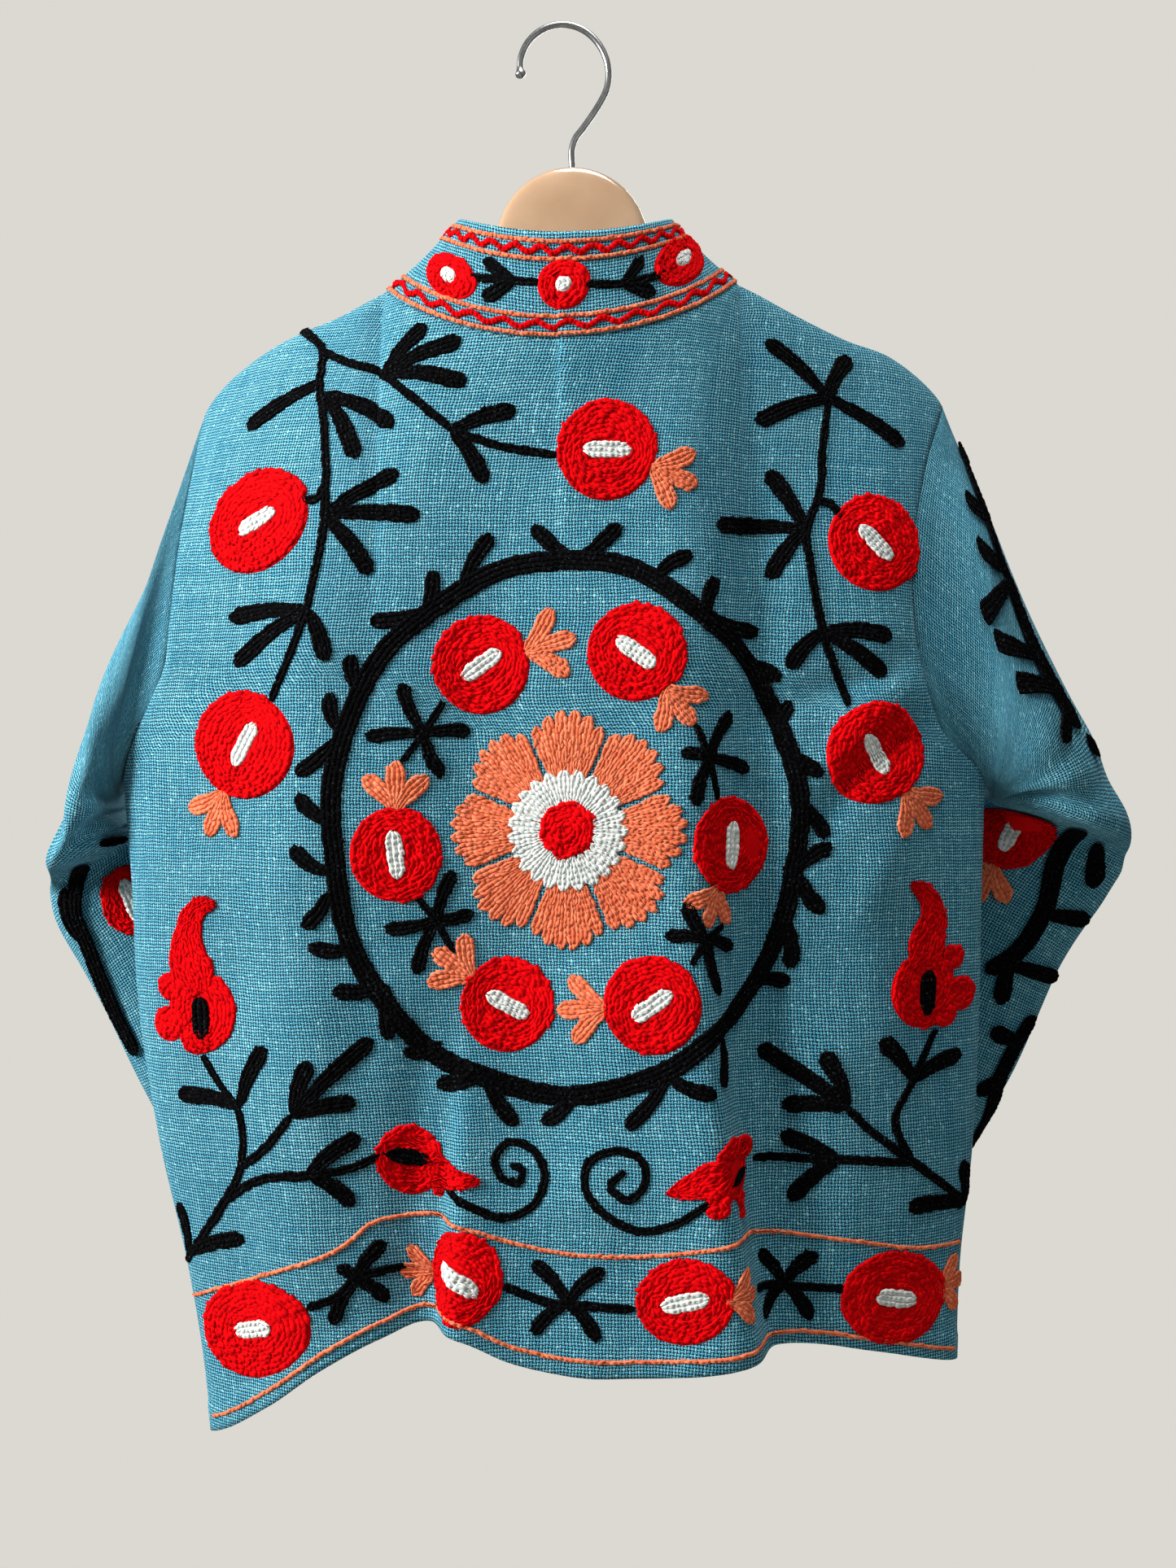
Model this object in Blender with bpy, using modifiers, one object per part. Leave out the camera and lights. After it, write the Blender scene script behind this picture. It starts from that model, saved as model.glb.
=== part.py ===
"""Short embroidered jacket on a contoured clothes hanger.

Metres, +Z up. The origin is the inside top of the hanger's hook, where a rail holds it.
The jacket's back faces -Y and its fronts face +Y, so +X is the wearer's right.
Sizes and tables are in millimetres, and MM turns them into metres when a mesh is made.
Each piece of cloth is an open surface, the inner face, which a Solidify modifier thickens
outwards. Neighbouring pieces share the points of their seam and stand a seam gap apart.
"""

import math
from types import SimpleNamespace

import bmesh
import bpy
import numpy as np
from mathutils import Vector

MM = 0.001
LEFT, RIGHT = -1, 1

WALL = 2.0  # the cotton with the wool that is drawn through it
SEAM_GAP = 0.3
FRONT_PARTING = 8.0  # between the two fronts at the neck
FRONT_SPREAD = 22.0  # how much wider they part at the hem

STITCH_LIFT = 0.7  # the raised wool clears the cloth by this much
STITCH_HEIGHT = 2.0

HEM_TO_UNDERARM = 15  # rows of each body piece
UNDERARM_TO_SHOULDER = 12
SHOULDER_COLUMNS = 8
BACK_NECK_COLUMNS = 16
FRONT_NECK_COLUMNS = 8
FINE = 240  # steps that a row is measured in before its points are spread along it
SHOULDER_CROWDING = 1.7  # above 1, rows crowd where the cloth turns over the shoulder

NECK_HALF_WIDTH = 108.0
NECK_BACK_DEPTH = 53.0
NECK_FRONT_DEPTH = 46.0
NECK_BACK_DROP = 45.0
NECK_FRONT_DROP = 76.0
BACK_ROUNDING = 0.75  # powers of the neckline's drop: the back is a little squarer
FRONT_ROUNDING = 1.0
COLLAR_ROWS = 4
COLLAR_TOP_X = 2.5
COLLAR_TOP_HALF_WIDTH = 65.0
COLLAR_HOLLOW = 3.0  # how far its sides curve in between the seam and the top
COLLAR_TOP_Z = -118.0
COLLAR_TOP_BACK_DEPTH = 45.0
COLLAR_TOP_FRONT_DEPTH = 44.0
COLLAR_TOP_BACK_DROP = 21.0
COLLAR_TOP_FRONT_DROP = 56.0
COLLAR_TOP_Y = 6.0
COLLAR_LIFT = 0.2  # the collar leans out, so its foot stands this much above the seam gap

ROLL = 9.0  # radius that the cloth turns over the hanger's arm
ROLL_DROP = 12.0
UNDERARM_EASE = 3.2  # how far the sleeve's edge stands off the armhole under the arm
UNDERARM_REACH = 1.5  # above 1, that fades sooner towards the shoulder
SETTLE = 95.0  # below the shoulder the cloth leaves the arm's line over this length

HANGER_MIDDLE_X = 6.5
HANGER_HALF_LENGTH = 219.0
HANGER_SWEEP = 40.0  # how far forward the arm's tips stand
HANGER_THICKNESS = 13.0
DOME_RADIUS = 47.0
DOME_TOP_Z = -86.5
ARM_TOP_Z = -117.5  # the arms' top line, carried on to the middle
ARM_SLOPE = 0.42
WIRE = 4.0
WIRE_SOCKET_DEPTH = 14.0


def columns(names, *rows):
    """A short table as one array for each named column."""
    return SimpleNamespace(**dict(zip(names.split(), np.array(rows, float).T)))


# Side seams, hem corner first.
SIDE_SEAM = {
    LEFT: columns(
        "z x",
        (-857, -212), (-804, -219), (-757, -228), (-683, -246),
        (-597, -260), (-520, -265), (-463, -271),
    ),
    RIGHT: columns(
        "z x",
        (-816, 240), (-757, 243), (-691, 251), (-613, 256),
        (-516, 259), (-461, 262),
    ),
}
# Armhole seams, underarm first.
ARMHOLE = {
    LEFT: columns(
        "z x",
        (-463, -271), (-443, -264), (-416, -250), (-396, -241),
        (-370, -238), (-320, -235), (-270, -230), (-224, -226),
    ),
    RIGHT: columns(
        "z x",
        (-461, 262), (-452, 250), (-441, 235), (-419, 223),
        (-395, 216), (-343, 211), (-303, 216), (-264, 226), (-222, 243),
    ),
}
# Above the underarm, the line where back and front would close if there were no armhole.
CLOSING = {
    LEFT: columns("z x", (-400, -282), (-300, -284), (-200, -282)),
    RIGHT: columns("z x", (-400, 274), (-300, 282), (-200, 284)),
}
# Shoulder lines by distance from the middle, neck first.
SHOULDER = {
    LEFT: columns("x z", (108, -160), (139, -175), (161, -182), (193, -197), (214, -212), (226, -224)),
    RIGHT: columns("x z", (108, -156), (145, -174), (177, -187), (208, -196), (231, -211), (243, -222)),
}
HEM_BACK = columns(
    "x z",
    (-212, -857), (-197, -849), (-171, -831), (-140, -807), (-105, -788), (-74, -779),
    (-58, -783), (-30, -796), (0, -803), (50, -804), (92, -796), (116, -789),
    (150, -791), (195, -802), (240, -816),
)
HEM_FRONT = {
    LEFT: columns("x z", (-212, -857), (-150, -812), (-80, -794), (0, -797)),
    RIGHT: columns("x z", (0, -797), (90, -800), (170, -804), (240, -816)),
}
# The body from hem to shoulder: where the side seam lies, and how far each face stands off it.
SECTION = columns(
    "z side back front",
    (-857, -8, 58, 50),
    (-700, 0, 60, 49),
    (-600, 3, 60, 48),
    (-461, 6, 64, 45),
    (-350, 14, 68, 39),
    (-235, 26, 74, 32),
    (-150, 34, 80, 28),
)
SECTION_FULLNESS = 2.4  # exponents of the flattened oval
SECTION_ROUNDING = 1.7

# Folds that run up from the hem. The cloth steps by depth over the flank, and settles
# back over the reach. toward is the side that stands out, and fade is where it ends.
BACK_FOLDS = columns(
    "x_hem x_fade z_fade bow depth flank reach toward",
    (-69, -56, -570, 0, 30, 5, 60, 1),
    (120, 84, -400, -10, 30, 5, 60, -1),
    (186, 170, -560, 0, 10, 16, 40, -1),
    (-176, -190, -560, 0, 10, 16, 40, 1),
)
FRONT_FOLDS = columns(
    "x_hem x_fade z_fade bow depth flank reach toward",
    (-128, -120, -430, 0, 20, 12, 50, 1),
    (124, 128, -470, 0, 22, 12, 55, -1),
    (-60, -70, -600, 0, 10, 12, 40, -1),
    (64, 60, -560, 0, 12, 12, 40, 1),
)
HEM_LEVEL = -810.0

# Sleeve sections from the armhole to the cuff. out and in are the ends of the section
# in the view from behind, and near and far how far it bulges to the back and front.
SLEEVE = {
    RIGHT: columns(
        "out_x out_z out_y in_x in_z in_y near far",
        (253, -250, 42, 264, -464, 10, 54, 22),
        (268, -292, 44, 266, -466, 14, 56, 32),
        (289, -342, 45, 268, -468, 20, 58, 42),
        (314, -392, 46, 270, -470, 26, 60, 50),
        (336, -436, 46, 272, -473, 32, 60, 55),
        (354, -476, 48, 274, -477, 38, 58, 58),
        (364, -504, 52, 274, -482, 44, 54, 58),
        (364, -517, 58, 262, -482, 58, 24, 50),
        (355, -538, 62, 244, -480, 66, 22, 42),
        (334, -572, 68, 222, -508, 74, 24, 32),
        (312, -618, 74, 188, -560, 80, 26, 28),
        (289, -668, 78, 156, -608, 84, 28, 26),
        (263, -718, 82, 128, -656, 88, 28, 26),
        (239, -766, 86, 102, -700, 92, 26, 26),
    ),
    LEFT: columns(
        "out_x out_z out_y in_x in_z in_y near far",
        (-234, -251, 42, -275, -467, 10, 54, 22),
        (-237, -298, 44, -276, -470, 14, 56, 32),
        (-260, -346, 45, -278, -473, 20, 58, 42),
        (-287, -388, 46, -280, -477, 26, 60, 50),
        (-299, -440, 46, -281, -482, 32, 60, 55),
        (-315, -490, 48, -281, -487, 38, 58, 58),
        (-327, -522, 52, -281, -493, 44, 54, 58),
        (-331, -536, 58, -268, -494, 58, 24, 50),
        (-328, -556, 62, -250, -492, 66, 22, 42),
        (-315, -588, 68, -226, -520, 74, 24, 32),
        (-295, -628, 74, -192, -568, 80, 26, 28),
        (-273, -674, 78, -158, -614, 84, 28, 26),
        (-249, -724, 82, -126, -662, 88, 28, 26),
        (-225, -776, 86, -96, -708, 92, 26, 26),
    ),
}

# Red wool discs: where they lie on the back, and half their size as they lie.
POMEGRANATES = {
    "inner_top_left": (-45, -396, 28, 28),
    "inner_top_right": (44, -389, 28, 28),
    "inner_left": (-96, -505, 27, 27),
    "inner_right": (101, -501, 19, 27),
    "inner_bottom_left": (-31, -592, 26, 28),
    "inner_bottom_right": (53, -591, 28, 27),
    "neck": (27, -272, 30, 30),
    "shoulder_left": (-180, -310, 31, 29),
    "shoulder_right": (185, -324, 27, 28),
    "chest_left": (-185, -444, 31, 30),
    "chest_right": (186, -447, 30, 29),
    "hem_far_left": (-181, -787, 31, 27),
    "hem_left": (-50, -755, 17, 27),
    "hem_right": (71, -764, 29, 26),
    "hem_far_right": (198, -769, 31, 26),
}
# Red peppers: the middle of the seed end, the length, the width as a share of the shape's,
# how far the tip leans from upright in degrees, and how much its neck bends to the right.
PEPPERS = {
    "upright_left": (-210, -599, 88, 1.0, 5, -1.0),
    "upright_right": (219, -588, 88, 1.0, -9, 0.4),
    "lying_left": (-89, -681, 64, 1.25, 104, 0.4),
    "lying_right": (96, -695, 52, 1.35, -98, -0.4),
}
PEPPER_SHAPE = columns(
    "up half bend",
    (0, 0.08, 0), (0.07, 0.19, 0), (0.25, 0.265, 0), (0.42, 0.24, 0), (0.52, 0.16, 0.04),
    (0.62, 0.11, 0.08), (0.76, 0.09, 0.08), (0.9, 0.055, 0.03), (1, 0.03, -0.02),
)
PEPPER_SEED_END = 0.25  # the share of its length that lies behind its middle
PEPPER_STEPS = 9
RING = SimpleNamespace(x=-0.5, z=-490.5, half_x=133.5, half_z=153.5, width=10.5)
ROSETTE = SimpleNamespace(x=6, z=-491, half_x=67, half_z=68)
COLLAR_DISCS = {"left": (-69, -161, 15, 16), "middle": (1, -170, 15.5, 16), "right": (72, -151, 15, 16)}
DISC_POINTS = 18
RING_POINTS = 56
CUTTER_REACH = 220.0

# An arm by distance from the middle: its height, and how far its top drops to round the tip.
HANGER_ARM = columns(
    "away height drop",
    (0, 50, 0), (60, 44, 0), (150, 37, 0), (203, 33, 0), (213, 29, 3), (219, 18, 9),
)
HANGER_RING = 12  # points round the arm
HANGER_SECTIONS = 44
HANGER_TALL_POWER = 0.7  # below 1, an oval section fills out towards a rounded slab
HANGER_THICK_POWER = 0.45
HANGER_FULL_HEIGHT = 30.0  # an arm lower than this is thinner too
HANGER_THINNEST = 0.5
SOCKET_SIDES = 16

HOOK_CENTRE_Z = -26.0
# The hook's wire round its centre: angle from +X, and distance.
HOOK_TURN = columns("angle radius", (-33, 30.5), (20, 28), (90, 28), (150, 26.5), (192, 25))
HOOK_NECK = [(13, -62), (8.5, -68), (6.5, -74), (6.5, -86)]
HOOK_STEPS = 34
HOOK_TIP_SWELL = 1.7  # the wire's end is melted to a bead
HOOK_TIP_END = 0.9

COLOURS = {
    "turquoise_cotton": (0.107, 0.352, 0.445),
    "red_wool": (0.61, 0.003, 0.005),
    "black_wool": (0.004, 0.003, 0.004),
    "coral_wool": (0.75, 0.156, 0.061),
    "tan_plastic": (0.61, 0.352, 0.188),
    "steel_wire": (0.55, 0.56, 0.57),
}


def smooth(knots, values, at):
    """Values at places on a smooth curve through a table, level beyond its ends.

    Each span is a cubic whose slope at a knot is the mean of its neighbours' slopes,
    weighted by the length of the other one.
    """
    step = np.diff(knots)
    slope = np.diff(values) / step
    inner = (slope[:-1] * step[1:] + slope[1:] * step[:-1]) / (step[:-1] + step[1:])
    tangent = np.concatenate([slope[:1], inner, slope[-1:]])
    at = np.clip(at, knots[0], knots[-1])
    i = np.clip(np.searchsorted(knots, at) - 1, 0, len(step) - 1)
    t = (at - knots[i]) / step[i]
    rise = t * t * (3 - 2 * t)
    leave = t * (1 - t) ** 2 * tangent[i]
    arrive = t * t * (t - 1) * tangent[i + 1]
    return values[i] * (1 - rise) + values[i + 1] * rise + step[i] * (leave + arrive)


def ease(t):
    """0 below 0, 1 above 1, and a smooth rise between."""
    t = np.clip(t, 0, 1)
    return t * t * (3 - 2 * t)


def body_edge(side, z):
    """x where back and front close at height z: the side seam, carried on above the underarm."""
    seam, above = SIDE_SEAM[side], CLOSING[side]
    return smooth(np.concatenate([seam.z, above.z]), np.concatenate([seam.x, above.x]), z)


def neck_end_z(side):
    return SHOULDER[side].z[0]


def neckline_z(x, drop, power):
    """Height of the neckline: straight from shoulder to shoulder, less a rounded drop."""
    share = np.clip(x / NECK_HALF_WIDTH, -1, 1)
    level = neck_end_z(LEFT) + (neck_end_z(RIGHT) - neck_end_z(LEFT)) * (share + 1) / 2
    return level - drop * (1 - share * share) ** power


def shoulder_z(x):
    """Height of the shoulder line, and of its ends beyond them."""
    heights = [smooth(SHOULDER[side].x, SHOULDER[side].z, np.abs(x)) for side in (LEFT, RIGHT)]
    return np.where(x < 0, *heights)


def top_z(x, front):
    """Height of a body piece's top edge, shoulder line and neckline."""
    if front:
        neck = neckline_z(x, NECK_FRONT_DROP, FRONT_ROUNDING)
    else:
        neck = neckline_z(x, NECK_BACK_DROP, BACK_ROUNDING)
    return np.where(np.abs(x) < NECK_HALF_WIDTH, neck, shoulder_z(x))


def arm_y(x):
    """How far forward the hanger's arm stands at x."""
    return HANGER_SWEEP * ((x - HANGER_MIDDLE_X) / HANGER_HALF_LENGTH) ** 2


def top_y(x, front):
    """y of a body piece's top edge: along the arm, then round the neck."""
    share = np.clip(np.abs(x) / NECK_HALF_WIDTH, 0, 1)
    depth = NECK_FRONT_DEPTH if front else -NECK_BACK_DEPTH
    return arm_y(np.where(x < 0, np.minimum(x, -NECK_HALF_WIDTH), np.maximum(x, NECK_HALF_WIDTH))) + (
        depth * np.sqrt(1 - share * share)
    )


def fold_offset(folds, x, z):
    """How far the folds move the cloth outwards."""
    total = np.zeros(np.broadcast(x, z).shape)
    for n in range(len(folds.x_hem)):
        up = (z - HEM_LEVEL) / (folds.z_fade[n] - HEM_LEVEL)
        line = folds.x_hem[n] + (folds.x_fade[n] - folds.x_hem[n]) * up + folds.bow[n] * 4 * up * (1 - up)
        across = (x - line) * folds.toward[n]
        share = np.tanh(across / folds.flank[n]) * np.exp(-np.abs(across) / folds.reach[n])
        total += folds.depth[n] / 2 * share * ease(1 - up)
    return total


def body_y(x, z, front):
    """Depth of the back or the fronts at (x, z): a flattened oval with folds, hung from its top edge."""
    left, right = body_edge(LEFT, z), body_edge(RIGHT, z)
    across = np.clip(np.abs((2 * x - left - right) / (right - left)), 0, 1)
    oval = (1 - across**SECTION_FULLNESS) ** (1 / SECTION_ROUNDING)
    sign = 1 if front else -1
    stand_off = smooth(SECTION.z, SECTION.front if front else SECTION.back, z)
    folds = fold_offset(FRONT_FOLDS if front else BACK_FOLDS, x, z)
    hung = smooth(SECTION.z, SECTION.side, z) + sign * (stand_off + folds) * oval
    below = np.maximum(top_z(x, front) - z, 0)
    quarter = np.sqrt(1 - (1 - np.minimum(below / ROLL_DROP, 1)) ** 2)
    over_arm = ease((np.abs(x) - NECK_HALF_WIDTH + 8) / 25)
    start = top_y(x, front) + sign * ROLL * quarter * over_arm
    return hung + (start - hung) * np.exp(-below / SETTLE)


def spread(points, fractions):
    """Points at these shares of a polyline's length."""
    length = np.concatenate([[0], np.cumsum(np.linalg.norm(np.diff(points, axis=0), axis=1))])
    return np.stack([np.interp(fractions * length[-1], length, axis) for axis in points.T], axis=1)


def shares_of(points):
    """Each point's share of the polyline's length."""
    length = np.concatenate([[0], np.cumsum(np.linalg.norm(np.diff(points, axis=0), axis=1))])
    return length / length[-1]


def outer_edge(side):
    """(x, z) up the side seam and round the armhole, and how many rows lie below the underarm."""
    seam, hole = SIDE_SEAM[side], ARMHOLE[side]
    low = np.linspace(seam.z[0], seam.z[-1], HEM_TO_UNDERARM + 1)
    share = 1 - (1 - np.linspace(0, 1, UNDERARM_TO_SHOULDER + 1)[1:]) ** SHOULDER_CROWDING
    high = hole.z[0] + (hole.z[-1] - hole.z[0]) * share
    x = np.concatenate([body_edge(side, low), smooth(hole.z, hole.x, high)])
    return np.stack([x, np.concatenate([low, high])], axis=1)


def shoulder_points(side, front):
    """The shoulder seam from the neck to its outer end, evenly spaced."""
    table = SHOULDER[side]
    x = side * np.linspace(table.x[0], table.x[-1], FINE)
    z = smooth(table.x, table.z, np.abs(x))
    line = np.stack([x, body_y(x, z, front), z], axis=1)
    return spread(line, np.linspace(0, 1, SHOULDER_COLUMNS + 1))


def neck_points(side, front):
    """Half of the neck seam, from the middle to the shoulder, and the angle round the neck."""
    start = math.asin(FRONT_PARTING / 2 / NECK_HALF_WIDTH) if front else 0
    angle = np.linspace(start, math.pi / 2, FINE)
    x = side * NECK_HALF_WIDTH * np.sin(angle)
    line = np.stack([x, top_y(x, front), top_z(x, front)], axis=1)
    line[-1, 2] = neck_end_z(side)  # the sine of a right angle falls just short of 1
    count = FRONT_NECK_COLUMNS if front else BACK_NECK_COLUMNS // 2
    share = np.linspace(0, 1, count + 1)
    return spread(line, share), np.interp(share, shares_of(line), angle)


def panel(start_edge, end_edge, hem, top, front):
    """A body piece as rows of points from hem to top, between two edges given as (x, z).

    A row's heights are a Coons patch of the four edges, its depths come from body_y, and
    its points are spread along its own length in the shares of the top edge's points.
    """
    u = np.linspace(0, 1, FINE)
    shares = shares_of(top)
    low_z, high_z = start_edge[0, 1], start_edge[-1, 1]
    end_low, end_high = end_edge[0, 1], end_edge[-1, 1]
    hem_row = smooth(hem.x, hem.z, start_edge[0, 0] + (end_edge[0, 0] - start_edge[0, 0]) * u)
    top_x = start_edge[-1, 0] + (end_edge[-1, 0] - start_edge[-1, 0]) * u
    top_row = top_z(top_x, front)
    rows = []
    for (start_x, start_z), (end_x, end_z) in zip(start_edge, end_edge):
        v_start = (start_z - low_z) / (high_z - low_z)
        v_end = (end_z - end_low) / (end_high - end_low)
        v = v_start + (v_end - v_start) * u
        x = start_x + (end_x - start_x) * u
        z = hem_row + (top_row - hem_row) * v
        z[0], z[-1] = start_z, end_z
        rows.append(spread(np.stack([x, body_y(x, z, front), z], axis=1), shares))
    rows[-1] = top
    return np.array(rows)


def back_points():
    """The back, with columns from the left side to the right."""
    tops = {}
    for side in (LEFT, RIGHT):
        neck, _ = neck_points(side, front=False)
        tops[side] = np.concatenate([shoulder_points(side, front=False)[::-1], neck[::-1][1:]])
    top = np.concatenate([tops[LEFT], tops[RIGHT][::-1][1:]])
    return panel(outer_edge(LEFT), outer_edge(RIGHT), HEM_BACK, top, front=False)


def front_points(side):
    """A front, with columns from the side seam to the middle."""
    neck, _ = neck_points(side, front=True)
    top = np.concatenate([shoulder_points(side, front=True)[::-1], neck[::-1][1:]])
    outer = outer_edge(side)
    up = (outer[:, 1] - outer[0, 1]) / (outer[-1, 1] - outer[0, 1])
    middle_x = side * (FRONT_PARTING + FRONT_SPREAD * (1 - up)) / 2
    hem_z = smooth(HEM_FRONT[side].x, HEM_FRONT[side].z, middle_x[0])
    middle = np.stack([middle_x, hem_z + (top[-1, 2] - hem_z) * up], axis=1)
    return panel(outer, middle, HEM_FRONT[side], top, front=True)


def collar_points():
    """The stand collar as rows from the neck seam up, from the left front end round the back."""
    base, crown = [], []
    for side, front in ((LEFT, True), (LEFT, False), (RIGHT, False), (RIGHT, True)):
        points, angle = neck_points(side, front)
        cosine = np.cos(angle)
        if front:
            depth, drop, power = COLLAR_TOP_FRONT_DEPTH, COLLAR_TOP_FRONT_DROP, FRONT_ROUNDING
        else:
            depth, drop, power = -COLLAR_TOP_BACK_DEPTH, COLLAR_TOP_BACK_DROP, BACK_ROUNDING
        top = np.stack(
            [
                (COLLAR_TOP_X + side * COLLAR_TOP_HALF_WIDTH) * np.sin(angle),
                COLLAR_TOP_Y + depth * cosine,
                COLLAR_TOP_Z - drop * (cosine * cosine) ** power,
            ],
            axis=1,
        )
        if (side == LEFT) != front:
            points, top = points[::-1], top[::-1]
        skip = 1 if base else 0
        base.append(points[skip:])
        crown.append(top[skip:])
    base, crown = np.concatenate(base), np.concatenate(crown)
    up = np.linspace(0, 1, COLLAR_ROWS + 1)[:, None, None]
    rows = base + (crown - base) * up
    rows[..., 0] *= 1 - COLLAR_HOLLOW / NECK_HALF_WIDTH * np.sin(math.pi * up[..., 0])
    upward = (crown - base) / np.linalg.norm(crown - base, axis=1, keepdims=True)
    rows[0] += upward * (SEAM_GAP + COLLAR_LIFT)
    return rows


def sleeve_points(side, back, front):
    """A sleeve as rings from the armhole to the cuff. Point 0 is the shoulder, and the ring
    runs down the back of the armhole to the underarm and up its front."""
    back_edge = back[HEM_TO_UNDERARM:, 0 if side == LEFT else -1]
    front_edge = front[HEM_TO_UNDERARM:, 0]
    loop = np.concatenate([back_edge[::-1], front_edge[1:-1]])
    turn = np.arange(len(loop)) * 2 * math.pi / len(loop)
    out_share = (1 + np.cos(turn)) / 2
    rings = []
    table = SLEEVE[side]
    for n in range(len(table.out_x)):
        outer = np.array([table.out_x[n], table.out_y[n], table.out_z[n]])
        inner = np.array([table.in_x[n], table.in_y[n], table.in_z[n]])
        ring = inner + (outer - inner) * out_share[:, None]
        bulge = np.sin(turn)
        ring[:, 1] -= np.where(bulge > 0, table.near[n], table.far[n]) * bulge
        rings.append(ring)
    loop[:, 0] += side * (SEAM_GAP + UNDERARM_EASE * (1 - out_share) ** UNDERARM_REACH)
    return np.array([loop] + rings)


def surface(name, rows, outwards, closed=False):
    """An open surface of quads over rows of points. outwards is 1 or -1, whichever turns
    the faces away from the body."""
    mesh = bpy.data.meshes.new(name)
    bm = bmesh.new()
    grid = [[bm.verts.new(Vector(point) * MM) for point in row] for row in rows]
    for low, high in zip(grid, grid[1:]):
        last = len(low) if closed else len(low) - 1
        for j in range(last):
            k = (j + 1) % len(low)
            corners = (low[j], low[k], high[k], high[j])
            bm.faces.new(corners[::outwards])
    bm.normal_update()
    bm.to_mesh(mesh)
    bm.free()
    return bpy.data.objects.new(name, mesh)


def thicken(obj, thickness):
    solidify = obj.modifiers.new("Wall", "SOLIDIFY")
    solidify.thickness = thickness * MM
    solidify.offset = 1
    return obj


def paint(obj, colour, roughness=0.9, metallic=0.0):
    material = bpy.data.materials.get(colour) or bpy.data.materials.new(colour)
    material.use_nodes = True
    shader = material.node_tree.nodes["Principled BSDF"]
    shader.inputs["Base Color"].default_value = (*COLOURS[colour], 1)
    shader.inputs["Roughness"].default_value = roughness
    shader.inputs["Metallic"].default_value = metallic
    obj.data.materials.append(material)


def collection(name, hidden=False):
    made = bpy.data.collections.new(name)
    made.hide_render = hidden
    bpy.context.scene.collection.children.link(made)
    return made


def add_cloth(part, name, rows, outwards, closed=False):
    obj = thicken(surface(name, rows, outwards, closed), WALL)
    part.objects.link(obj)
    obj.data.shade_smooth()
    paint(obj, "turquoise_cotton")
    return obj


def oval(x, z, half_x, half_z, count=DISC_POINTS):
    """An ellipse's outline round (x, z)."""
    angle = np.arange(count) * 2 * math.pi / count
    return np.stack([x + half_x * np.cos(angle), z + half_z * np.sin(angle)], axis=1)


def pepper(x, z, length, width, lean, bend):
    """A pepper's outline: up one side of its bent middle line to the tip, and down the other."""
    up = np.linspace(0, 1, PEPPER_STEPS)
    half = smooth(PEPPER_SHAPE.up, PEPPER_SHAPE.half, up) * width
    middle = smooth(PEPPER_SHAPE.up, PEPPER_SHAPE.bend, up) * bend
    across = np.concatenate([middle + half, (middle - half)[::-1]]) * length
    along = (np.concatenate([up, up[::-1]]) - PEPPER_SEED_END) * length
    turn = math.radians(lean)
    return np.stack(
        [
            x + across * math.cos(turn) + along * math.sin(turn),
            z - across * math.sin(turn) + along * math.cos(turn),
        ],
        axis=1,
    )


def prism(cutters, name, outlines):
    """A cutter along Y: flat outlines in the XZ plane, the second one a hole, extruded."""
    curve = bpy.data.curves.new(name, "CURVE")
    curve.dimensions = "2D"
    curve.fill_mode = "BOTH"
    curve.extrude = CUTTER_REACH * MM
    for outline in outlines:
        spline = curve.splines.new("POLY")
        spline.points.add(len(outline) - 1)
        spline.points.foreach_set("co", [v for x, z in outline for v in (x * MM, z * MM, 0, 1)])
        spline.use_cyclic_u = True
    flat = bpy.data.objects.new(name, curve)
    bpy.context.scene.collection.objects.link(flat)
    flat.rotation_euler = (math.pi / 2, 0, 0)
    bpy.context.view_layer.update()
    mesh = bpy.data.meshes.new_from_object(flat.evaluated_get(bpy.context.evaluated_depsgraph_get()))
    bm = bmesh.new()
    bm.from_mesh(mesh)
    bmesh.ops.remove_doubles(bm, verts=bm.verts, dist=1e-6)
    bmesh.ops.recalc_face_normals(bm, faces=bm.faces)
    bm.to_mesh(mesh)
    bm.free()
    cutter = bpy.data.objects.new(name, mesh)
    cutter.rotation_euler = flat.rotation_euler
    bpy.data.objects.remove(flat)
    cutter.display_type = "WIRE"
    cutter.hide_render = True
    cutters.objects.link(cutter)
    return cutter


def normals_of(obj):
    found = np.empty(len(obj.data.vertices) * 3)
    obj.data.vertices.foreach_get("normal", found)
    return found.reshape(-1, 3)


def raise_wool(part, cutters, name, cloth, rows, outlines, colour):
    """Wool that lies on the back of a cloth: the cloth's own points under its outline, moved
    out and thickened, then cut to the outline."""
    lifted = rows + normals_of(cloth).reshape(rows.shape) * (WALL + STITCH_LIFT)
    flat = rows[..., [0, 2]]
    inside = ((flat > outlines[0].min(axis=0)) & (flat < outlines[0].max(axis=0))).all(axis=2)
    i, j = np.nonzero(inside & (rows[..., 1] < 0))
    under = lifted[max(i.min() - 1, 0) : i.max() + 2, max(j.min() - 1, 0) : j.max() + 2]
    obj = thicken(surface(name, under, 1), STITCH_HEIGHT)
    cut = obj.modifiers.new("Outline", "BOOLEAN")
    cut.operation = "INTERSECT"
    cut.object = prism(cutters, name + "_outline", outlines)
    part.objects.link(obj)
    paint(obj, colour)
    return obj


def hanger_top(x):
    """The hanger's top edge: a dome on two sloping arms."""
    away = np.abs(x - HANGER_MIDDLE_X)
    arms = ARM_TOP_Z - ARM_SLOPE * away
    dome = DOME_TOP_Z - DOME_RADIUS + np.sqrt(np.maximum(DOME_RADIUS**2 - away**2, 0))
    return np.where(away < DOME_RADIUS, np.maximum(arms, dome), arms)


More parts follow.
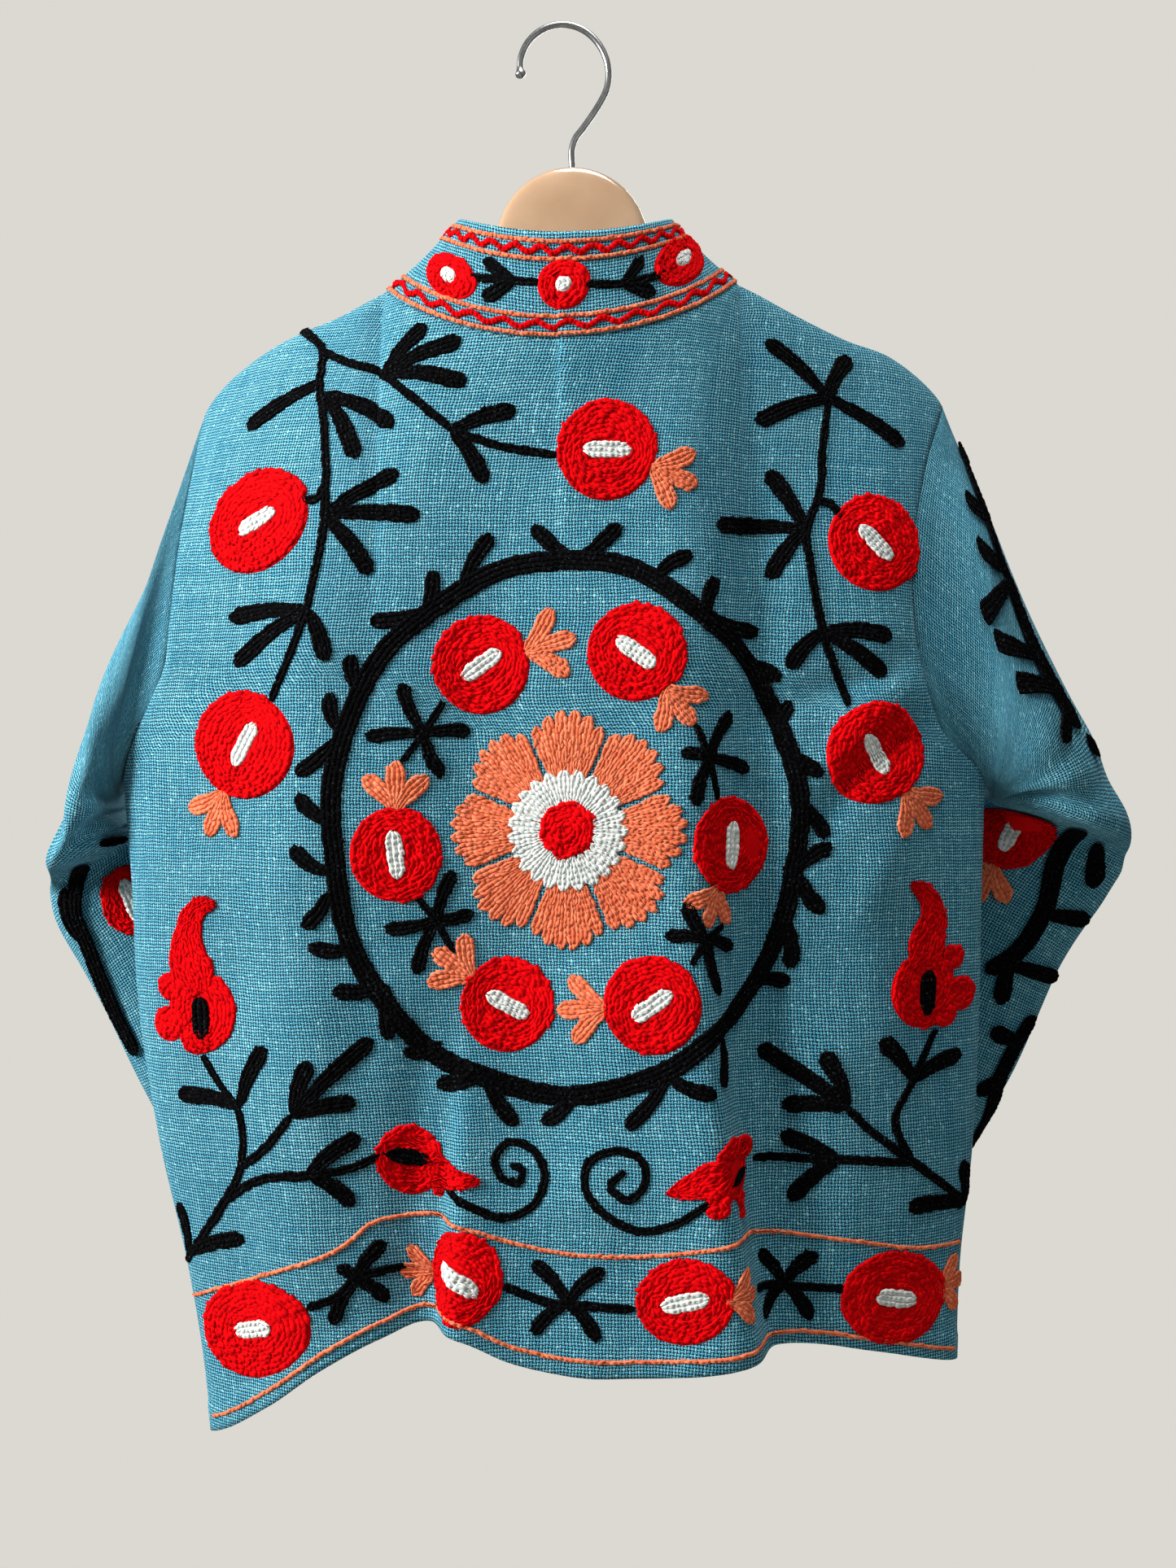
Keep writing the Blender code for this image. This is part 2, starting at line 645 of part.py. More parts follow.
def add_hanger(part, cutters):
    """The moulded body: oval sections from tip to tip, closer together at the dome and the tips."""
    turn = np.linspace(-1, 1, HANGER_SECTIONS)
    x = HANGER_MIDDLE_X + HANGER_HALF_LENGTH * np.sin(turn * math.pi / 2)
    away = np.abs(x - HANGER_MIDDLE_X)
    height = smooth(HANGER_ARM.away, HANGER_ARM.height, away)
    top = hanger_top(x) - smooth(HANGER_ARM.away, HANGER_ARM.drop, away)
    bottom = ARM_TOP_Z - ARM_SLOPE * away - height
    angle = np.arange(HANGER_RING) * 2 * math.pi / HANGER_RING
    tall = np.sign(np.sin(angle)) * np.abs(np.sin(angle)) ** HANGER_TALL_POWER
    thick = np.sign(np.cos(angle)) * np.abs(np.cos(angle)) ** HANGER_THICK_POWER
    slim = np.clip(height / HANGER_FULL_HEIGHT, HANGER_THINNEST, 1)
    rows = np.empty((HANGER_SECTIONS, HANGER_RING, 3))
    rows[..., 0] = x[:, None]
    rows[..., 1] = arm_y(x)[:, None] + HANGER_THICKNESS / 2 * slim[:, None] * thick
    rows[..., 2] = ((top + bottom) / 2)[:, None] + ((top - bottom) / 2)[:, None] * tall
    obj = surface("hanger_body", rows, 1, closed=True)
    bm = bmesh.new()
    bm.from_mesh(obj.data)
    bmesh.ops.holes_fill(bm, edges=[edge for edge in bm.edges if edge.is_boundary], sides=0)
    bmesh.ops.recalc_face_normals(bm, faces=bm.faces)
    bm.to_mesh(obj.data)
    bm.free()
    obj.data.shade_smooth()
    part.objects.link(obj)
    paint(obj, "tan_plastic", roughness=0.25)
    bpy.ops.mesh.primitive_cylinder_add(
        vertices=SOCKET_SIDES,
        radius=(WIRE / 2 + SEAM_GAP) * MM,
        depth=2 * WIRE_SOCKET_DEPTH * MM,
        location=(HANGER_MIDDLE_X * MM, 0, DOME_TOP_Z * MM),
    )
    drill = bpy.context.object
    drill.name = "hook_socket"
    drill.display_type = "WIRE"
    drill.hide_render = True
    for holder in drill.users_collection:
        holder.objects.unlink(drill)
    cutters.objects.link(drill)
    cut = obj.modifiers.new("Socket", "BOOLEAN")
    cut.operation = "DIFFERENCE"
    cut.object = drill


def add_hook(part):
    """The wire hook: a turn over the rail, a slanting neck, and a straight end in the dome."""
    angle = np.linspace(HOOK_TURN.angle[-1], HOOK_TURN.angle[0], HOOK_STEPS)
    radius = smooth(HOOK_TURN.angle, HOOK_TURN.radius, angle)
    turn = np.radians(angle)
    points = [(r * math.cos(a), HOOK_CENTRE_Z + r * math.sin(a)) for r, a in zip(radius, turn)]
    points += HOOK_NECK
    points.append((HANGER_MIDDLE_X, DOME_TOP_Z - WIRE_SOCKET_DEPTH + SEAM_GAP))
    curve = bpy.data.curves.new("hanger_hook", "CURVE")
    curve.dimensions = "3D"
    curve.bevel_depth = WIRE / 2 * MM
    curve.bevel_resolution = 2
    curve.use_fill_caps = True
    spline = curve.splines.new("POLY")
    spline.points.add(len(points) - 1)
    for n, (point, (x, z)) in enumerate(zip(spline.points, points)):
        point.co = (x * MM, 0, z * MM, 1)
        point.radius = HOOK_TIP_SWELL if n == 1 else 1.0
    spline.points[0].radius = HOOK_TIP_END
    obj = bpy.data.objects.new("hanger_hook", curve)
    part.objects.link(obj)
    paint(obj, "steel_wire", roughness=0.3, metallic=1.0)


def main():
    for obj in list(bpy.data.objects):
        bpy.data.objects.remove(obj)
    part = collection("embroidered_jacket_on_hanger")
    cutters = collection("cutters", hidden=True)
    back = back_points()
    fronts = {side: front_points(side) for side in (LEFT, RIGHT)}
    collar = collar_points()
    sleeves = {side: sleeve_points(side, back, fronts[side]) for side in (LEFT, RIGHT)}
    back[..., 1] -= SEAM_GAP / 2
    back_cloth = add_cloth(part, "back_panel", back, 1)
    for side, word in ((LEFT, "left"), (RIGHT, "right")):
        rows = fronts[side]
        rows[..., 1] += SEAM_GAP / 2
        add_cloth(part, "front_" + word, rows, side)
        add_cloth(part, "sleeve_" + word, sleeves[side], -side, closed=True)
    collar_cloth = add_cloth(part, "collar", collar, 1)
    add_hanger(part, cutters)
    add_hook(part)
    for name, disc in POMEGRANATES.items():
        raise_wool(part, cutters, "pomegranate_" + name, back_cloth, back, [oval(*disc)], "red_wool")
    for name, disc in COLLAR_DISCS.items():
        raise_wool(part, cutters, "collar_disc_" + name, collar_cloth, collar, [oval(*disc)], "red_wool")
    for name, outline in PEPPERS.items():
        raise_wool(part, cutters, "pepper_" + name, back_cloth, back, [pepper(*outline)], "red_wool")
    edges = [
        oval(RING.x, RING.z, RING.half_x + out, RING.half_z + out, RING_POINTS)
        for out in (RING.width / 2, -RING.width / 2)
    ]
    raise_wool(part, cutters, "ring", back_cloth, back, edges, "black_wool")
    rosette = oval(ROSETTE.x, ROSETTE.z, ROSETTE.half_x, ROSETTE.half_z, 2 * DISC_POINTS)
    raise_wool(part, cutters, "rosette", back_cloth, back, [rosette], "coral_wool")


main()
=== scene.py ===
# %% [markdown]
# # A short embroidered jacket on a clothes hanger
#
# The jacket is coarse turquoise cotton worked all over with thick wool chain stitch, and it
# hangs from a moulded hanger with a wire hook. The packed model already holds every solid
# at its true size. This script dresses those solids: each piece of cloth becomes a thin
# shell with a weave and creases, and the wool becomes thousands of small stitched loops.
#
# Everything is worked out in millimetres as whole numpy arrays, because a formula on a grid
# is easy to read and quick to change. It becomes metres only when a mesh is made.

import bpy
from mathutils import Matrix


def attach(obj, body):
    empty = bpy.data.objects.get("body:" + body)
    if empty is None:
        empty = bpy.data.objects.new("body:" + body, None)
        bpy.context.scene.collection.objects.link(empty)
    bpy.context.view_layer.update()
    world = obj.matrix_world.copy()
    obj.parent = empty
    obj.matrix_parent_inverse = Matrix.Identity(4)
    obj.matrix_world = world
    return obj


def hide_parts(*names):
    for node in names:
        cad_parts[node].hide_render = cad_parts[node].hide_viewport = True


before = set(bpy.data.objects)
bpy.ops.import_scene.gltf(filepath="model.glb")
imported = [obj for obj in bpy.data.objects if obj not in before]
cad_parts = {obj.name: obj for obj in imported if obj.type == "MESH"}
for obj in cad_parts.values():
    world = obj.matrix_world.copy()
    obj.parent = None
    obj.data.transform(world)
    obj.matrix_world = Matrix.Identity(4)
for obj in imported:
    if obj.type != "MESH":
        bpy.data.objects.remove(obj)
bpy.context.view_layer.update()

import math
from types import SimpleNamespace

import bpy
import numpy as np

MM = 0.001
LEFT, RIGHT = -1, 1
print("nodes in the frame:", len(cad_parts))


# %% [markdown]
# ## Tables and smooth curves
#
# A tailor works from a size chart. Here each chart is a small table with named columns, and
# one function draws a smooth curve through it: between two knots it is a cubic whose slopes
# are shared with its neighbours, so no corner shows in the cloth.

# %% Tables and curves
def columns(names, *rows):
    """A short table as one array for each named column."""
    return SimpleNamespace(**dict(zip(names.split(), np.array(rows, float).T)))


def smooth(knots, values, at):
    """A cubic through the knots, each slope a weighted mean of its neighbours' slopes."""
    step = np.diff(knots)
    wide = step.reshape((-1,) + (1,) * (np.ndim(values) - 1))
    slope = np.diff(values, axis=0) / wide
    inner = (slope[:-1] * wide[1:] + slope[1:] * wide[:-1]) / (wide[:-1] + wide[1:])
    tangent = np.concatenate([slope[:1], inner, slope[-1:]])
    at = np.clip(at, knots[0], knots[-1])
    i = np.clip(np.searchsorted(knots, at) - 1, 0, len(step) - 1)
    t = (at - knots[i]) / step[i]
    span = step[i]
    if np.ndim(values) > 1:
        t = t.reshape(t.shape + (1,) * (np.ndim(values) - 1))
        span = span.reshape(t.shape)
    rise = t * t * (3 - 2 * t)
    leave = t * (1 - t) ** 2 * tangent[i]
    arrive = t * t * (t - 1) * tangent[i + 1]
    return values[i] * (1 - rise) + values[i + 1] * rise + span * (leave + arrive)


def ease(t):
    """0 below 0, 1 above 1, and 3t^2 - 2t^3 between."""
    t = np.clip(t, 0, 1)
    return t * t * (3 - 2 * t)


LATTICE = 64


def lattice_noise(u, v, size, seed):
    """Soft noise from -1 to 1: random values on a lattice of this size, eased between."""
    cells = np.random.default_rng(seed).uniform(-1, 1, (LATTICE, LATTICE))
    u, v = np.broadcast_arrays(u / size, v / size)
    i, j = np.floor(u).astype(int), np.floor(v).astype(int)
    a, b = ease(u - i), ease(v - j)

    def corner(di, dj):
        return cells[(i + di) % LATTICE, (j + dj) % LATTICE]

    low = corner(0, 0) * (1 - a) + corner(1, 0) * a
    high = corner(0, 1) * (1 - a) + corner(1, 1) * a
    return low * (1 - b) + high * b


print("a quarter of the way along, ease gives %.3f" % ease(0.25))


# %% [markdown]
# ## The pattern of the body
#
# These tables are the cut of the jacket: side seams, armholes, shoulders and hems. z is the
# height and x is measured from the middle of the back. Back and fronts meet at the side
# seams and shoulders, so they read the same tables and can't come apart.

# %% Pattern tables
SIDE_SEAM = {
    LEFT: columns(
        "z x",
        (-857, -212), (-804, -219), (-757, -228), (-683, -246),
        (-597, -260), (-520, -265), (-463, -271),
    ),
    RIGHT: columns(
        "z x",
        (-816, 240), (-757, 243), (-691, 251), (-613, 256),
        (-516, 259), (-461, 262),
    ),
}
ARMHOLE = {
    LEFT: columns(
        "z x",
        (-463, -271), (-443, -264), (-416, -250), (-396, -241),
        (-370, -238), (-320, -235), (-270, -230), (-224, -226),
    ),
    RIGHT: columns(
        "z x",
        (-461, 262), (-452, 250), (-441, 235), (-419, 223),
        (-395, 216), (-343, 211), (-303, 216), (-264, 226), (-222, 243),
    ),
}
CLOSING = {
    LEFT: columns("z x", (-400, -282), (-300, -284), (-200, -282)),
    RIGHT: columns("z x", (-400, 274), (-300, 282), (-200, 284)),
}
SHOULDER = {
    LEFT: columns(
        "x z",
        (108, -160), (139, -175), (161, -182), (193, -197), (214, -212), (226, -224),
    ),
    RIGHT: columns(
        "x z",
        (108, -156), (145, -174), (177, -187), (208, -196), (231, -211), (243, -222),
    ),
}
HEM_BACK = columns(
    "x z",
    (-212, -857), (-197, -849), (-171, -831), (-140, -807), (-105, -788), (-74, -779),
    (-58, -783), (-30, -796), (0, -803), (50, -804), (92, -799), (116, -795),
    (150, -792), (195, -801), (240, -814),
)
HEM_FRONT = {
    LEFT: columns("x z", (-212, -857), (-150, -812), (-80, -794), (0, -797)),
    RIGHT: columns("x z", (0, -797), (90, -800), (170, -804), (240, -816)),
}
SECTION = columns(
    "z side back front",
    (-857, -8, 58, 50), (-700, 0, 60, 49), (-600, 3, 60, 48), (-461, 6, 64, 45),
    (-350, 14, 68, 39), (-235, 26, 74, 32), (-150, 34, 80, 28),
)
BACK_FOLDS = columns(
    "x_hem x_fade z_fade bow depth flank reach toward",
    (-69, -56, -570, 0, 30, 5, 60, 1),
    (120, 84, -400, -10, 30, 5, 60, -1),
    (186, 170, -560, 0, 10, 16, 40, -1),
    (-176, -190, -560, 0, 10, 16, 40, 1),
)
FRONT_FOLDS = columns(
    "x_hem x_fade z_fade bow depth flank reach toward",
    (-128, -120, -430, 0, 20, 12, 50, 1),
    (124, 128, -470, 0, 22, 12, 55, -1),
    (-60, -70, -600, 0, 10, 12, 40, -1),
    (64, 60, -560, 0, 12, 12, 40, 1),
)
HEM_LEVEL = -810.0
SECTION_FULLNESS = 2.4
SECTION_ROUNDING = 1.7
FRONT_PARTING = 8.0
FRONT_SPREAD = 22.0
print("pattern pieces: a back, two fronts, two sleeves and a collar")

# %% Neck, collar and hanger sizes
NECK = SimpleNamespace(
    half_width=108.0, back_depth=53.0, front_depth=46.0, back_drop=45.0, front_drop=76.0,
)
BACK_ROUNDING, FRONT_ROUNDING = 0.75, 1.0
COLLAR_TOP = SimpleNamespace(
    x=2.5, half_width=65.0, hollow=3.0, z=-118.0, y=6.0, lift=0.2,
    back_depth=45.0, front_depth=44.0, back_drop=21.0, front_drop=56.0,
)
ROLL, ROLL_DROP, SETTLE = 9.0, 12.0, 95.0
HANGER = SimpleNamespace(
    middle_x=6.5, half_length=219.0, sweep=40.0, thickness=13.0, dome_radius=47.0,
    dome_top=-86.5, arm_top=-117.5, slope=0.42,
)
ARM_START, ARM_BLEND = 8.0, 25.0
CLOTH_THICKNESS = 1.6
SEAM_GAP = 0.3
print("the neck is %.0f mm wide" % (2 * NECK.half_width))


# %% [markdown]
# ## Hung cloth as a formula
#
# The cut of the body is a flattened oval. Where the cloth turns over the hanger it keeps the
# arm's line and then settles to the oval. Long folds run up from the hem: each is a step in
# depth, written as a hyperbolic tangent across the fold times a fade along it, so one
# flank is steep and the other rolls back gently, as hung cloth does. Softer ridges and
# creases, up to a centimetre deep, come from a second table, and noise keeps them uneven.

# %% Creases
CREASES = {
    "back": columns(
        "x0 z0 x1 z1 depth width",
        (214, -380, 120, -430, -4.4, 10), (216, -400, 150, -457, 3.6, 10),
        (222, -420, 140, -502, -4.2, 11), (236, -442, 170, -542, 3.2, 12),
        (-240, -390, -150, -450, -3.2, 13), (-255, -425, -190, -520, -3.4, 12),
        (-190, -200, -130, -330, -1.6, 16), (190, -205, 120, -330, -2.0, 17),
        (-100, -178, -70, -300, 1.6, 16), (96, -178, 60, -300, 1.8, 18),
        (-20, -330, -40, -560, 1.4, 26), (30, -560, 20, -790, 2.4, 30),
        (-140, -560, -150, -740, 1.8, 18), (160, -600, 165, -780, 2.2, 18),
        (60, -300, 90, -420, -1.8, 20), (-200, -560, -215, -700, -2.0, 16),
        (205, -520, 225, -700, -2.0, 16), (-230, -600, -190, -640, 1.5, 10),
        (-156, -225, -146, -860, 8.5, 34), (-34, -215, -30, -830, -10.0, 46),
        (72, -225, 90, -860, 9.0, 28), (116, -235, 124, -840, -9.0, 18),
        (190, -250, 196, -820, 6.0, 28), (-86, -600, -80, -860, -5.0, 16),
    ),
    "front": columns(
        "x0 z0 x1 z1 depth width",
        (-214, -400, -120, -470, 2.6, 12), (214, -400, 130, -480, 2.6, 12),
        (-90, -250, -60, -420, 1.8, 18), (90, -250, 70, -420, 1.8, 18),
        (-160, -560, -150, -740, 2.4, 20), (150, -560, 160, -740, 2.4, 20),
        (-20, -300, -30, -600, 1.4, 14), (24, -300, 34, -600, 1.4, 14),
    ),
}


CREASE_WANDER, CREASE_SWING = 5.0, 5.0


def crease_offset(table, x, z):
    """Soft ridges and troughs: a bell across each line, eased to nothing at its ends."""
    total = np.zeros(np.broadcast(x, z).shape)
    for x0, z0, x1, z1, depth, width in zip(*vars(table).values()):
        length = math.hypot(x1 - x0, z1 - z0)
        along = ((x - x0) * (x1 - x0) + (z - z0) * (z1 - z0)) / length**2
        across = ((x - x0) * (z1 - z0) - (z - z0) * (x1 - x0)) / length
        across = across + CREASE_WANDER * np.sin(along * CREASE_SWING + x0)
        bell = np.exp(-((across / width) ** 2))
        fade_in, fade_out = ease(along / 0.3 + 0.4), ease((1.25 - along) / 0.6)
        total += depth * bell * fade_in * fade_out
    return total


UNEVENNESS = ((1.3, 47), (0.5, 19))
UNEVEN_SEED = {"back": 5, "front": 11}


def waviness(x, z, seed):
    """The slight unevenness of loosely woven cloth: noise of each height and size."""
    return sum(
        height * lattice_noise(x, z, size, seed + n) for n, (height, size) in enumerate(UNEVENNESS)
    )


print("creases:", {name: len(table.x0) for name, table in CREASES.items()})


# %% The body as a formula
def body_edge(side, z):
    """x where back and front close at height z."""
    seam, above = SIDE_SEAM[side], CLOSING[side]
    return smooth(np.concatenate([seam.z, above.z]), np.concatenate([seam.x, above.x]), z)


def shoulder_z(x):
    """Height of the shoulder lines."""
    heights = [smooth(SHOULDER[side].x, SHOULDER[side].z, np.abs(x)) for side in (LEFT, RIGHT)]
    return np.where(x < 0, *heights)


def top_z(x, front):
    """Height of the top edge: shoulder lines, and a neckline that drops by (1 - share^2)^power."""
    share = np.clip(x / NECK.half_width, -1, 1)
    left, right = SHOULDER[LEFT].z[0], SHOULDER[RIGHT].z[0]
    drop, power = (NECK.front_drop, FRONT_ROUNDING) if front else (NECK.back_drop, BACK_ROUNDING)
    neck = left + (right - left) * (share + 1) / 2 - drop * (1 - share * share) ** power
    return np.where(np.abs(x) < NECK.half_width, neck, shoulder_z(x))


def arm_y(x):
    """How far forward the hanger's arm stands: a parabola."""
    return HANGER.sweep * ((x - HANGER.middle_x) / HANGER.half_length) ** 2


def top_y(x, front):
    """Depth of the top edge: along the arm, then half an ellipse round the neck."""
    share = np.clip(np.abs(x) / NECK.half_width, 0, 1)
    depth = NECK.front_depth if front else -NECK.back_depth
    beyond = np.where(x < 0, np.minimum(x, -NECK.half_width), np.maximum(x, NECK.half_width))
    return arm_y(beyond) + depth * np.sqrt(1 - share * share)


def fold_offset(folds, x, z):
    """Each fold is tanh(across / flank) * exp(-|across| / reach), fading up the cloth."""
    total = np.zeros(np.broadcast(x, z).shape)
    for x_hem, x_fade, z_fade, bow, depth, flank, reach, toward in zip(*vars(folds).values()):
        up = (z - HEM_LEVEL) / (z_fade - HEM_LEVEL)
        line = x_hem + (x_fade - x_hem) * up + bow * 4 * up * (1 - up)
        across = (x - line) * toward
        share = np.tanh(across / flank) * np.exp(-np.abs(across) / reach)
        total += depth / 2 * share * ease(1 - up)
    return total


def body_y(x, z, front):
    """Depth of the body at (x, z): oval, folds and creases, eased into the line of the arm."""
    name, sign, folds = ("front", 1, FRONT_FOLDS) if front else ("back", -1, BACK_FOLDS)
    left, right = body_edge(LEFT, z), body_edge(RIGHT, z)
    across = np.clip(np.abs((2 * x - left - right) / (right - left)), 0, 1)
    oval = (1 - across**SECTION_FULLNESS) ** (1 / SECTION_ROUNDING)
    stand_off = smooth(SECTION.z, SECTION.front if front else SECTION.back, z)
    moved = fold_offset(folds, x, z) + crease_offset(CREASES[name], x, z)
    moved = moved + waviness(x, z, UNEVEN_SEED[name])
    hung = smooth(SECTION.z, SECTION.side, z) + sign * (stand_off + moved) * oval
    below = np.maximum(top_z(x, front) - z, 0)
    quarter = np.sqrt(1 - (1 - np.minimum(below / ROLL_DROP, 1)) ** 2)
    over_arm = ease((np.abs(x) - NECK.half_width + ARM_START) / ARM_BLEND)
    start = top_y(x, front) + sign * ROLL * quarter * over_arm
    return hung + (start - hung) * np.exp(-below / SETTLE)


print("depth of the back at its middle: %.1f mm" % body_y(np.array(0.0), np.array(-500.0), False))


# %% [markdown]
# ## Pattern pieces as grids
#
# A body piece is filled between its four edges: heights are blended from hem to top, depths
# come from the formula, and the points of each row are spread evenly by length. A sleeve is
# a stack of rings that starts on the armhole's own points. A collar rises from the neck
# seam's own points. Sharing points is how the seams stay shut.

# %% Grid helpers
FINE = 600
ROWS_LOW, ROWS_HIGH = 110, 84
SHOULDER_COLUMNS, BACK_NECK_COLUMNS, FRONT_NECK_COLUMNS = 36, 80, 20
CROWDING = 1.7


def lengths(points):
    """Length along a line of points."""
    return np.concatenate([[0], np.cumsum(np.linalg.norm(np.diff(points, axis=0), axis=1))])


def spread(points, shares):
    """Points at these shares of a line's length."""
    length = lengths(points)
    return np.stack([np.interp(shares * length[-1], length, axis) for axis in points.T], axis=1)


def outer_edge(side):
    """(x, z) up the side seam and round the armhole."""
    seam, hole = SIDE_SEAM[side], ARMHOLE[side]
    low = np.linspace(seam.z[0], seam.z[-1], ROWS_LOW + 1)
    share = 1 - (1 - np.linspace(0, 1, ROWS_HIGH + 1)[1:]) ** CROWDING
    high = hole.z[0] + (hole.z[-1] - hole.z[0]) * share
    x = np.concatenate([body_edge(side, low), smooth(hole.z, hole.x, high)])
    return np.stack([x, np.concatenate([low, high])], axis=1)


def shoulder_points(side, front):
    """The shoulder seam from the neck out."""
    x = side * np.linspace(SHOULDER[side].x[0], SHOULDER[side].x[-1], FINE)
    z = shoulder_z(x)
    line = np.stack([x, body_y(x, z, front), z], axis=1)
    return spread(line, np.linspace(0, 1, SHOULDER_COLUMNS + 1))


def neck_points(side, front):
    """Half of the neck seam from the middle out, and the angle round the neck."""
    start = math.asin(FRONT_PARTING / 2 / NECK.half_width) if front else 0
    angle = np.linspace(start, math.pi / 2, FINE)
    x = side * NECK.half_width * np.sin(angle)
    line = np.stack([x, top_y(x, front), top_z(x, front)], axis=1)
    line[-1, 2] = SHOULDER[side].z[0]
    share = np.linspace(0, 1, (FRONT_NECK_COLUMNS if front else BACK_NECK_COLUMNS // 2) + 1)
    length = lengths(line)
    return spread(line, share), np.interp(share, length / length[-1], angle)


def panel(start_edge, end_edge, hem, top, front):
    """A body piece: heights blended between the four edges, depths from body_y."""
    u = np.linspace(0, 1, FINE)
    length = lengths(top)
    shares = length / length[-1]
    low_z, high_z = start_edge[0, 1], start_edge[-1, 1]
    end_low, end_high = end_edge[0, 1], end_edge[-1, 1]
    hem_row = smooth(hem.x, hem.z, start_edge[0, 0] + (end_edge[0, 0] - start_edge[0, 0]) * u)
    top_row = top_z(start_edge[-1, 0] + (end_edge[-1, 0] - start_edge[-1, 0]) * u, front)
    rows = []
    for (start_x, start_z), (end_x, end_z) in zip(start_edge, end_edge):
        v_start = (start_z - low_z) / (high_z - low_z)
        v_end = (end_z - end_low) / (end_high - end_low)
        x = start_x + (end_x - start_x) * u
        z = hem_row + (top_row - hem_row) * (v_start + (v_end - v_start) * u)
        z[0], z[-1] = start_z, end_z
        rows.append(spread(np.stack([x, body_y(x, z, front), z], axis=1), shares))
    rows[-1] = top
    return np.array(rows)


print("rows up a body piece:", ROWS_LOW + ROWS_HIGH + 1)


# %% Back, fronts and collar
def back_points():
    """The back, whose top runs from one shoulder's end over the neck to the other's."""
    tops = {}
    for side in (LEFT, RIGHT):
        neck = neck_points(side, False)[0]
        tops[side] = np.concatenate([shoulder_points(side, False)[::-1], neck[::-1][1:]])
    top = np.concatenate([tops[LEFT], tops[RIGHT][::-1][1:]])
    return panel(outer_edge(LEFT), outer_edge(RIGHT), HEM_BACK, top, False)


def front_points(side):
    """A front, from its side seam to the open edge in the middle."""
    neck = neck_points(side, True)[0]
    top = np.concatenate([shoulder_points(side, True)[::-1], neck[::-1][1:]])
    outer = outer_edge(side)
    up = (outer[:, 1] - outer[0, 1]) / (outer[-1, 1] - outer[0, 1])
    middle_x = side * (FRONT_PARTING + FRONT_SPREAD * (1 - up)) / 2
    hem_z = smooth(HEM_FRONT[side].x, HEM_FRONT[side].z, middle_x[0])
    middle = np.stack([middle_x, hem_z + (top[-1, 2] - hem_z) * up], axis=1)
    return panel(outer, middle, HEM_FRONT[side], top, True)


COLLAR_ROWS = 26


def collar_points():
    """Straight from the neck seam to the top edge, drawn in a little by a half sine."""
    base, crown = [], []
    for side, front in ((LEFT, True), (LEFT, False), (RIGHT, False), (RIGHT, True)):
        points, angle = neck_points(side, front)
        if front:
            depth, drop, power = COLLAR_TOP.front_depth, COLLAR_TOP.front_drop, FRONT_ROUNDING
        else:
            depth, drop, power = -COLLAR_TOP.back_depth, COLLAR_TOP.back_drop, BACK_ROUNDING
        top = np.stack(
            [
                (COLLAR_TOP.x + side * COLLAR_TOP.half_width) * np.sin(angle),
                COLLAR_TOP.y + depth * np.cos(angle),
                COLLAR_TOP.z - drop * (np.cos(angle) ** 2) ** power,
            ],
            axis=1,
        )
        if (side == LEFT) != front:
            points, top = points[::-1], top[::-1]
        skip = 1 if base else 0
        base.append(points[skip:])
        crown.append(top[skip:])
    base, crown = np.concatenate(base), np.concatenate(crown)
    up = np.linspace(0, 1, COLLAR_ROWS + 1)[:, None, None]
    upward = (crown - base) / np.linalg.norm(crown - base, axis=1, keepdims=True)
    base = base + upward * (SEAM_GAP + COLLAR_TOP.lift)
    rows = base + (crown - base) * up
    rows[..., 0] *= 1 - COLLAR_TOP.hollow / NECK.half_width * np.sin(math.pi * up[..., 0])
    return rows


back = back_points()
fronts = {side: front_points(side) for side in (LEFT, RIGHT)}
collar = collar_points()
print("back grid", back.shape, "front grid", fronts[LEFT].shape, "collar grid", collar.shape)

# %% Sleeve tables
SLEEVE = {
    RIGHT: columns(
        "out_x out_z out_y in_x in_z in_y near far",
        (253, -250, 42, 264, -466, 10, 42, 22), (268, -292, 44, 266, -471, 14, 50, 32),
        (289, -342, 45, 268, -474, 20, 56, 42), (314, -392, 46, 270, -475, 26, 60, 50),
        (336, -436, 46, 272, -473, 32, 60, 55), (354, -476, 48, 274, -469, 38, 58, 58),
        (364, -504, 52, 274, -470, 44, 54, 58), (364, -517, 58, 262, -472, 58, 24, 50),
        (355, -538, 62, 244, -476, 66, 22, 42), (334, -572, 68, 222, -508, 74, 24, 32),
        (312, -618, 74, 188, -560, 80, 26, 28), (289, -668, 78, 156, -608, 84, 28, 26),
        (263, -718, 82, 128, -656, 88, 28, 26), (239, -766, 86, 102, -700, 92, 26, 26),
    ),
    LEFT: columns(
        "out_x out_z out_y in_x in_z in_y near far",
        (-235, -251, 42, -275, -467, 10, 36, 22), (-243, -298, 44, -276, -470, 14, 42, 32),
        (-264, -346, 45, -278, -473, 20, 48, 42), (-287, -388, 46, -280, -477, 26, 55, 50),
        (-299, -440, 46, -281, -482, 32, 58, 55), (-315, -490, 48, -281, -487, 38, 58, 58),
        (-327, -522, 52, -281, -493, 44, 54, 58), (-331, -536, 58, -268, -494, 58, 24, 50),
        (-328, -556, 62, -250, -492, 66, 22, 42), (-315, -588, 68, -226, -520, 74, 24, 32),
        (-295, -628, 74, -192, -568, 80, 26, 28), (-273, -674, 78, -158, -614, 84, 28, 26),
        (-249, -724, 82, -126, -662, 88, 28, 26), (-225, -776, 86, -96, -708, 92, 26, 26),
    ),
}
SLEEVE_RINGS = 90
UNDERARM_GAP = 0.3


